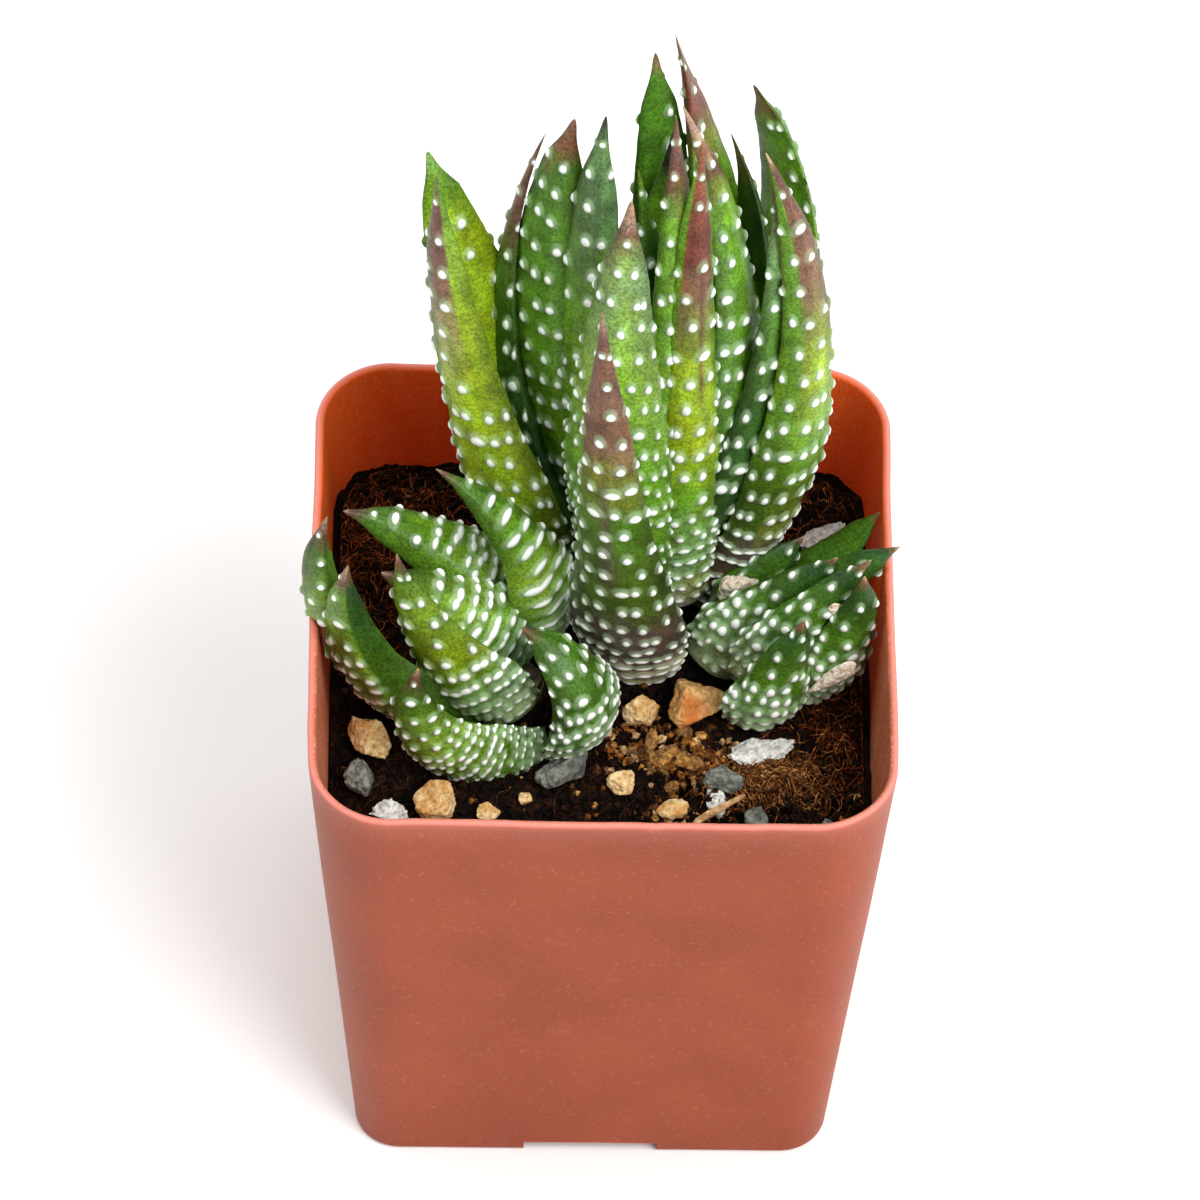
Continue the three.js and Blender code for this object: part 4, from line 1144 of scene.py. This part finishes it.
def blade_skin(row, s, columns_back, columns_inner):
    """The bare blade: its points on a grid, their outward normals, and each column's place across.

    The centre line is the sum of short steps along the leaf. The section's back is
    (1 − reach ** power) ** (1 / power) deep, and its inner face a half sine. Also given are
    which columns are the back, and half the width of each row.
    """
    fine = np.linspace(0, 1, PATH_STEPS + 1)
    along, _, _ = blade_frame(row, (fine[1:] + fine[:-1]) / 2)
    path = np.concatenate([[[0, 0, 0]], np.cumsum(along * row["length"] / PATH_STEPS, axis=0)])
    centre = np.array(row["foot"]) + np.stack([np.interp(s, fine, path[:, k]) for k in range(3)],
                                              -1)
    _, inner, side = blade_frame(row, s)
    half = np.maximum(back_half(row, s), TIP_RADIUS)[:, None]
    turn = np.concatenate([
        np.linspace(0, np.pi, columns_back, endpoint=False),
        np.linspace(np.pi, 2 * np.pi, columns_inner, endpoint=False),
    ])
    is_back = np.arange(len(turn)) < columns_back
    across = np.cos(turn)
    place, power = row["keel"]
    reach = np.abs(across - place) / np.where(across > place, 1 - place, 1 + place)
    back = -BACK_DEPTH * np.clip(1 - np.clip(reach, 0, 1) ** power, 0, 1) ** (1 / power)
    out = np.where(is_back, back, INNER_DEPTH * -np.sin(turn))
    points = (centre[:, None] + side[:, None] * (across * half)[..., None]
              + inner[:, None] * (out * half)[..., None])
    du = np.roll(points, -1, 1) - np.roll(points, 1, 1)
    dv = np.gradient(points, axis=0)
    normals = np.cross(du, dv)
    normals /= np.linalg.norm(normals, axis=-1, keepdims=True) + 1e-12
    return points, normals, across, is_back, half[:, 0]


# %% Rows of tubercles
# For each rosette: how wide and tall a tubercle is beside the common size, near the foot and
# above it, and what the steps from row to row are multiplied by.
MARKS = {
    "main": ((0.94, 0.72), (1.0, 1.0), 1.0),
    "left": ((1.3, 0.95), (1.0, 1.0), 0.92),
    "right": ((0.8, 1.25), (0.78, 0.98), 0.85),
}
# Steps in mm between rows and within a row, with what is taken off near the foot and added
# at the tip.
ROW_STEP, ROW_CLOSER, ROW_WIDER = 2.9, 1.1, 0.8
DOT_STEP, DOT_CLOSER, DOT_WIDER = 1.6, 0.45, 0.2
FIRST_ROW, LAST_ROW = 1.0, 0.95  # mm from the foot, and share of the length
LINE_STEP, LINE_BEADS, LINE_HEIGHT = 2.1, 9, 0.34  # a wavy line is made of this many domes


def dome_rows(row, rng):
    """Tubercles: share of the length, angle round the back, half sizes along and across.

    The step from row to row is 1.8 mm in the bands near the foot, 2.9 mm above them and 3.7 mm
    at the tip, times the rosette's own factor. The tubercles of a row stand 1.15 to 1.8 mm
    apart, times `arcs`. Both are less where `dots` packs them.
    """
    found = []
    below, above, step = MARKS[row["name"].split("_")[0]]
    s, number = FIRST_ROW / row["length"], 0
    while s < row["lines"]:
        turn = np.linspace(0.1, np.pi - 0.1, LINE_BEADS)
        wave = 0.35 * np.sin(2.5 * turn + 2 * number)
        shift = (wave + rng.normal(0, 0.08, LINE_BEADS)) / row["length"]
        wide = 1.2 * BACK_ARC * float(back_half(row, s)) / LINE_BEADS
        found += [(s + ds, t, LINE_HEIGHT, wide) for t, ds in zip(turn, shift)]
        s += LINE_STEP / row["length"]
        number += 1
    while s < LAST_ROW:
        half = float(back_half(row, s))
        low = 1 - float(smooth(0.6 * row["bands"], 1.3 * row["bands"], s))
        high = float(smooth(0.3, 0.7, s))
        apart = DOT_STEP - DOT_CLOSER * low + DOT_WIDER * high
        apart = apart * row["arcs"] / (0.5 + 0.5 * row["dots"])
        count = max(2, int(round(BACK_ARC * half / apart)))
        turn = (np.arange(count) + 0.5 + 0.25 * (-1) ** number) / count * np.pi
        turn = np.clip(turn + rng.normal(0, 0.14 / count * np.pi, count), 0.06, np.pi - 0.06)
        shift = rng.normal(0, 0.24 - 0.1 * low, count) / row["length"]
        keep = rng.random(count) < 0.96 - 0.06 * (1 - low)
        size = float(smooth(0.4, 2.6, half)) * 0.4 + 0.6
        size /= 0.4 + 0.6 * row["dots"]
        wide = 0.7 + rng.random(count) * (0.2 + 0.3 * low) + 0.5 * (rng.random(count) < 0.08)
        wide = wide * size * row["arcs"]
        tall = (0.64 + 0.12 * rng.random(count) - 0.16 * low) * size
        factors = np.array(below) * low + np.array(above) * (1 - low)
        wide, tall = np.array([wide, tall]) * factors[:, None]
        for t, ds, w, h, ok in zip(turn, shift, wide, tall, keep):
            bald = s > row["bare_from"] and row["bare"][0] < math.cos(t) < row["bare"][1]
            if ok and not bald:
                found.append((s + ds, t, h, w))
        further = step * (ROW_STEP - ROW_CLOSER * low + ROW_WIDER * high)
        s += further / (0.3 + 0.7 * row["dots"]) / row["length"]
        number += 1
    return np.array(found)


# %% [markdown]
# ### Haworthia skin
#
# The skin is a thin waxy layer over water-filled tissue, so its shine is soft and light
# goes a little way in. Close up it is stippled: darker and lighter cells of some 0.3 mm
# stand next to each other. Clouds of 2.4 mm and warmer patches of 5 mm lie over them. The
# tubercles are dead air-filled tissue, pearly white and rougher.
#
# Tones come from the leaf's colour attribute, which also carries painted shade at the
# leaf's sides, and the white from the dome attribute.
# That one changes smoothly, so the threshold on it draws a crisp round edge that the mesh
# itself is too coarse for.

# %% Leaf material
skin, tree, surface = new_material("haworthia_skin", {
    "IOR": 1.45, "Specular IOR Level": 0.32, "Subsurface Weight": 0.15,
    "Subsurface Radius": (0.5, 1.0, 0.25), "Subsurface Scale": 0.8 * MM})
place = add(tree, "ShaderNodeTexCoord").outputs["Object"]
tone = add(tree, "ShaderNodeAttribute", attribute_name="tone").outputs["Color"]
dome = add(tree, "ShaderNodeAttribute", attribute_name="dome").outputs["Fac"]
stipple = add(tree, "ShaderNodeTexNoise",
              {"Vector": place, "Scale": 3600, "Detail": 1, "Roughness": 0.6})
stipple_share = add(tree, "ShaderNodeMapRange", {
    "Value": stipple.outputs[0], "From Min": 0.32, "From Max": 0.68, "To Min": 0.62,
    "To Max": 1.36})
clouds = add(tree, "ShaderNodeTexNoise", {"Vector": place, "Scale": 420, "Detail": 3})
cloud_share = add(tree, "ShaderNodeMapRange", {
    "Value": clouds.outputs[0], "From Min": 0.3, "From Max": 0.7, "To Min": 0.66, "To Max": 1.3})
shade = add(tree, "ShaderNodeMath", {
    0: stipple_share.outputs[0], 1: cloud_share.outputs[0]}, operation="MULTIPLY")
green = add(tree, "ShaderNodeMix", {FACTOR: 1.0, COLOUR_A: tone, COLOUR_B: shade.outputs[0]},
            data_type="RGBA", blend_type="MULTIPLY").outputs[MIXED]
patches = add(tree, "ShaderNodeTexNoise", {"Vector": place, "Scale": 190, "Detail": 2})
patch_share = add(tree, "ShaderNodeMapRange", {
    "Value": patches.outputs[0], "From Min": 0.48, "From Max": 0.68, "To Max": 0.8})
green = add(tree, "ShaderNodeMix",
            {FACTOR: patch_share.outputs[0], COLOUR_A: green, COLOUR_B: linear("#FFEEB3")},
            data_type="RGBA", blend_type="MULTIPLY").outputs[MIXED]
halo = add(tree, "ShaderNodeMapRange", {
    "Value": dome, "From Min": -1.5, "From Max": 0.55, "To Max": 0.4},
    interpolation_type="SMOOTHSTEP")
green = add(tree, "ShaderNodeMix",
            {FACTOR: halo.outputs[0], COLOUR_A: green, COLOUR_B: linear("#A8C49C")},
            data_type="RGBA").outputs[MIXED]
pearl = add(tree, "ShaderNodeMapRange", {
    "Value": dome, "From Min": 0.4, "From Max": 0.72}, interpolation_type="SMOOTHSTEP")
tree.links.new(add(tree, "ShaderNodeMix",
                   {FACTOR: pearl.outputs[0], COLOUR_A: green, COLOUR_B: linear("#F2F6F0")},
                   data_type="RGBA").outputs[MIXED], surface.inputs["Base Color"])
matt = add(tree, "ShaderNodeMapRange", {"Value": pearl.outputs[0], "To Min": 0.4, "To Max": 0.55})
tree.links.new(matt.outputs[0], surface.inputs["Roughness"])
bump = add(tree, "ShaderNodeBump",
           {"Height": stipple.outputs[0], "Strength": 0.25, "Distance": 0.12 * MM})
tree.links.new(bump.outputs[0], surface.inputs["Normal"])

# %% Grow the leaves
DOME_HEIGHT, DOME_POWER, DOME_REACH = 0.42, 0.75, 2.6
SWAY = 0.10  # mm that the skin goes in and out between the tubercles
GRID_CELL, INNER_CELL, HIDDEN_FACTOR = 0.21, 0.7, 1.4
HIDDEN = [f"main_leaf_{number}" for number in (19, 20, 21, 22)]
LEAF_SEED = 500
HALO = 3.0  # how far below zero the white of a dome starts
SHADE = {"main": 0.95, "left": 0.82, "right": 0.92}
# How much smaller the white is near the foot, what the halo's fall is multiplied by, and
# what is added to that factor near the foot.
RINGS = {"main": (0, 1.5, 1.5), "left": (0.25, 1.5, -0.8), "right": (0.25, 1.5, -0.8)}
RIM_REACH, RIM_CLEAR = 1.3, 0.15  # mm inside the rim where a leaf is lifted, and over the rim


def to_rosette(points, rosette):
    """Leans points about the level axis across the rosette's direction, then moves them to it."""
    (x, y), lean, towards, _, _ = ROSETTES[rosette]
    t = math.radians(towards)
    axis = Vector((-math.sin(t), math.cos(t), 0))
    turn = np.array(Matrix.Rotation(math.radians(lean), 3, axis))
    return points @ turn.T + [x, y, SOIL_LEVEL]


def grow(row, seed):
    """One leaf: bare skin, domes as (1 − d²) ** 0.75 pushed out along the normals, and its tones.

    The white of a dome is 1 − e², where e is d measured from a point nearer to the foot and
    stretched towards the tip, so that the white has a crisp lower edge and a soft upper one.
    Below zero it goes on, from −HALO where no dome is near, for the pale ring that surrounds a
    tubercle. RINGS makes it fall faster or slower there, for a narrower or wider ring.
    """
    rng = np.random.default_rng(seed)
    rosette = row["name"].split("_")[0]
    cell = GRID_CELL * (HIDDEN_FACTOR if row["name"] in HIDDEN else 1)
    s = np.linspace(0, 1, int(row["length"] / cell))
    columns_back = int(row["width"] / 2 * BACK_ARC / cell)
    columns_inner = int(row["width"] / (cell if row["inner_dots"] else INNER_CELL))
    points, normals, across, is_back, half = blade_skin(row, s, columns_back, columns_inner)
    place = s[:, None] * row["length"] + 0 * across
    turn = np.arccos(np.clip(across, -1, 1))
    arc = (turn - np.pi / 2) * BACK_ARC / 2 * half[:, None]
    height, white = np.zeros(place.shape), np.full(place.shape, -HALO)
    faces_with_dots = [(is_back, dome_rows(row, rng))]
    if row["inner_dots"]:
        low, high = row["inner_dots"]
        found = dome_rows(row, rng)
        at = np.cos(found[:, 1])
        faces_with_dots.append((~is_back, found[(found[:, 0] > 0.3) & (at > low) & (at < high)]))
    for face, found in faces_with_dots:
        for dome_share, dome_turn, tall, wide in found:
            near = np.ix_(np.abs(s - dome_share) * row["length"] < DOME_REACH * tall, face)
            along = (place[near] - dome_share * row["length"]) / tall
            middle = (dome_turn - np.pi / 2) * BACK_ARC / 2 * back_half(row, dome_share)
            u = (arc[near] - middle) / wide
            dome = np.clip(1 - along ** 2 - u ** 2, 0, 1) ** DOME_POWER
            height[near] = np.maximum(height[near], dome)
            v = along + 0.2 + 0.1 * u ** 2
            v = np.where(v > 0, 0.75 * v, 1.25 * v)
            white[near] = np.maximum(white[near], 1 - v ** 2 - 0.9 * u ** 2)
    near_foot = 1 - smooth(0.08, 0.38, s)[:, None] + 0 * white
    smaller, fall, fall_at_foot = RINGS[rosette]
    white = np.where(white > 0, white - smaller * near_foot,
                     white * (fall + fall_at_foot * near_foot))
    rise = DOME_HEIGHT * height * np.minimum(1, half / 1.6)[:, None]
    sway = SWAY * fractal(points * 0.35, seed=seed % 7 + 20, octaves=3)
    sway = sway * np.minimum(1, half / 3)[:, None]
    share = s[:, None] + 0 * across
    drift = 0.03 * fractal(points * 0.5, seed=31, octaves=3)
    tone_share = np.clip(share + drift, 0, 1)
    tones = tone_ramp(row["back"], tone_share)
    if row["panel"]:
        low, high, text = row["panel"]
        part = smooth(low - 0.1, low + 0.1, across + 0 * share)
        part = part * (1 - smooth(high - 0.1, high + 0.1, across))
        tones += (tone_ramp(text, tone_share) - tones) * part[..., None]
    if row["stripe"]:
        centre, wide, low, high, tone_name = row["stripe"]
        part = np.exp(-((across - centre) / wide) ** 2) * smooth(low, low + 0.08, share)
        part = 0.75 * part * (1 - smooth(high - 0.08, high, share))
        tones += (TONES[tone_name] - tones) * part[..., None]
    tones = np.where(is_back[:, None], tones, tone_ramp(row["inner"], tone_share))
    streak_place = np.stack([3 * across + 0 * share, 2.5 * share, 0 * share + seed], -1)
    streaks = 0.2 * fractal(streak_place, seed=33, octaves=3)
    # The leaf's sides are darkened towards its edges as painted shade, where the skin turns away
    # from the light. SHADE and the streaks set the tone of each rosette and leaf.
    tones *= (SHADE[rosette] - 0.4 * np.abs(across) ** 3 + streaks)[..., None]
    points = points + normals * (rise + sway)[..., None]
    every, faces = capped(points)
    tones = np.concatenate([tones.reshape(-1, 3), tones[[0, -1]].mean(axis=1)])
    white = np.concatenate([white.ravel(), [-HALO, -HALO]])
    every = to_rosette(every, rosette)
    over_rim = every[:, 0] < -(TOP_HALF - RIM_REACH)
    lifted = np.maximum(every[:, 2], POT_HEIGHT + RIM_CLEAR)
    every[:, 2] = np.where(over_rim, lifted, every[:, 2])
    slot = "main_leaf" if rosette == "main" else "offset_leaf"
    return piece(row["name"] + "_blade", every, faces, skin, slot, nodes=[row["name"]],
                 attributes={"tone": tones, "dome": white})


triangles = 0
for number, row in enumerate(LEAVES):
    blade = grow(row, seed=LEAF_SEED + number)
    triangles += 2 * len(blade.data.polygons)
print(len(LEAVES), "leaves with", triangles, "triangles")

# %% [markdown]
# ## The stems
#
# Each rosette has a short stem of dry leaf bases. Hardly anything of it shows between the
# leaves, so the CAD solids stay and only get their finish: a dull, corky skin with rings
# where old leaves were.

# %% Stem material
cork, tree, surface = new_material("dry_leaf_bases", {"Roughness": 0.9})
place = add(tree, "ShaderNodeTexCoord").outputs["Object"]
rings = add(tree, "ShaderNodeTexWave",
            {"Vector": place, "Scale": 300, "Distortion": 6, "Detail": 3},
            bands_direction="Z")
ringed = add(tree, "ShaderNodeMix",
             {FACTOR: rings.outputs[1], COLOUR_A: linear("#4A4032"), COLOUR_B: linear("#8C7C60")},
             data_type="RGBA").outputs[MIXED]
tree.links.new(ringed, surface.inputs["Base Color"])
bump = add(tree, "ShaderNodeBump",
           {"Height": rings.outputs[1], "Strength": 0.6, "Distance": 0.3 * MM})
tree.links.new(bump.outputs[0], surface.inputs["Normal"])
for name in ("main_stem", "left_stem", "right_stem"):
    for material_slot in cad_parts[name].material_slots:
        material_slot.material = cork

# %% [markdown]
# ## Floor and light
#
# The photograph is a product shot on white: soft light from all round, a little stronger
# from above. A pale matt floor, a bright even world and two large soft lamps give that.

# %% Floor
FLOOR_HALF = 3  # metres from the middle to an edge
paper, _, _ = new_material("pale_matt_floor", {
    "Base Color": (*linear("#FCFBFA"), 1), "Roughness": 0.9, "Specular IOR Level": 0.2})
corners = [(x * FLOOR_HALF, y * FLOOR_HALF, 0) for x, y in ((-1, -1), (1, -1), (1, 1), (-1, 1))]
floor_mesh = bpy.data.meshes.new("floor")
floor_mesh.from_pydata(corners, [], [(0, 1, 2, 3)])
floor_mesh.materials.append(paper)
floor = bpy.data.objects.new("floor", floor_mesh)
bpy.context.scene.collection.objects.link(floor)
floor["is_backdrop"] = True

# %% Light
SKY_STRENGTH = 0.58
LAMP_TARGET = (0, 0, 0.06)
LAMPS = [  # name, place and size in metres, power in watts
    ("key_lamp", (0.5, -0.45, 0.85), 0.7, 11),
    ("top_lamp", (-0.2, 0.2, 1.1), 0.6, 5),
]
world = bpy.data.worlds.new("studio")
bpy.context.scene.world = world
world.use_nodes = True
sky = world.node_tree.nodes["Background"]
sky.inputs["Color"].default_value = (1.0, 1.0, 1.0, 1)
sky.inputs["Strength"].default_value = SKY_STRENGTH
for name, place, size, power in LAMPS:
    data = bpy.data.lights.new(name, "AREA")
    data.shape, data.size, data.energy = "SQUARE", size, power
    lamp = bpy.data.objects.new(name, data)
    bpy.context.scene.collection.objects.link(lamp)
    lamp.location = place
    lamp.rotation_euler = (Vector(LAMP_TARGET) - Vector(place)).to_track_quat("-Z", "Y").to_euler()
bpy.context.scene.view_settings.view_transform = "Standard"

# Both boxes are printed, the CAD's above and the visual one here.

# %% Finish
low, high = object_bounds()
print("visual box in metres:", [round(v, 4) for v in low], [round(v, 4) for v in high])
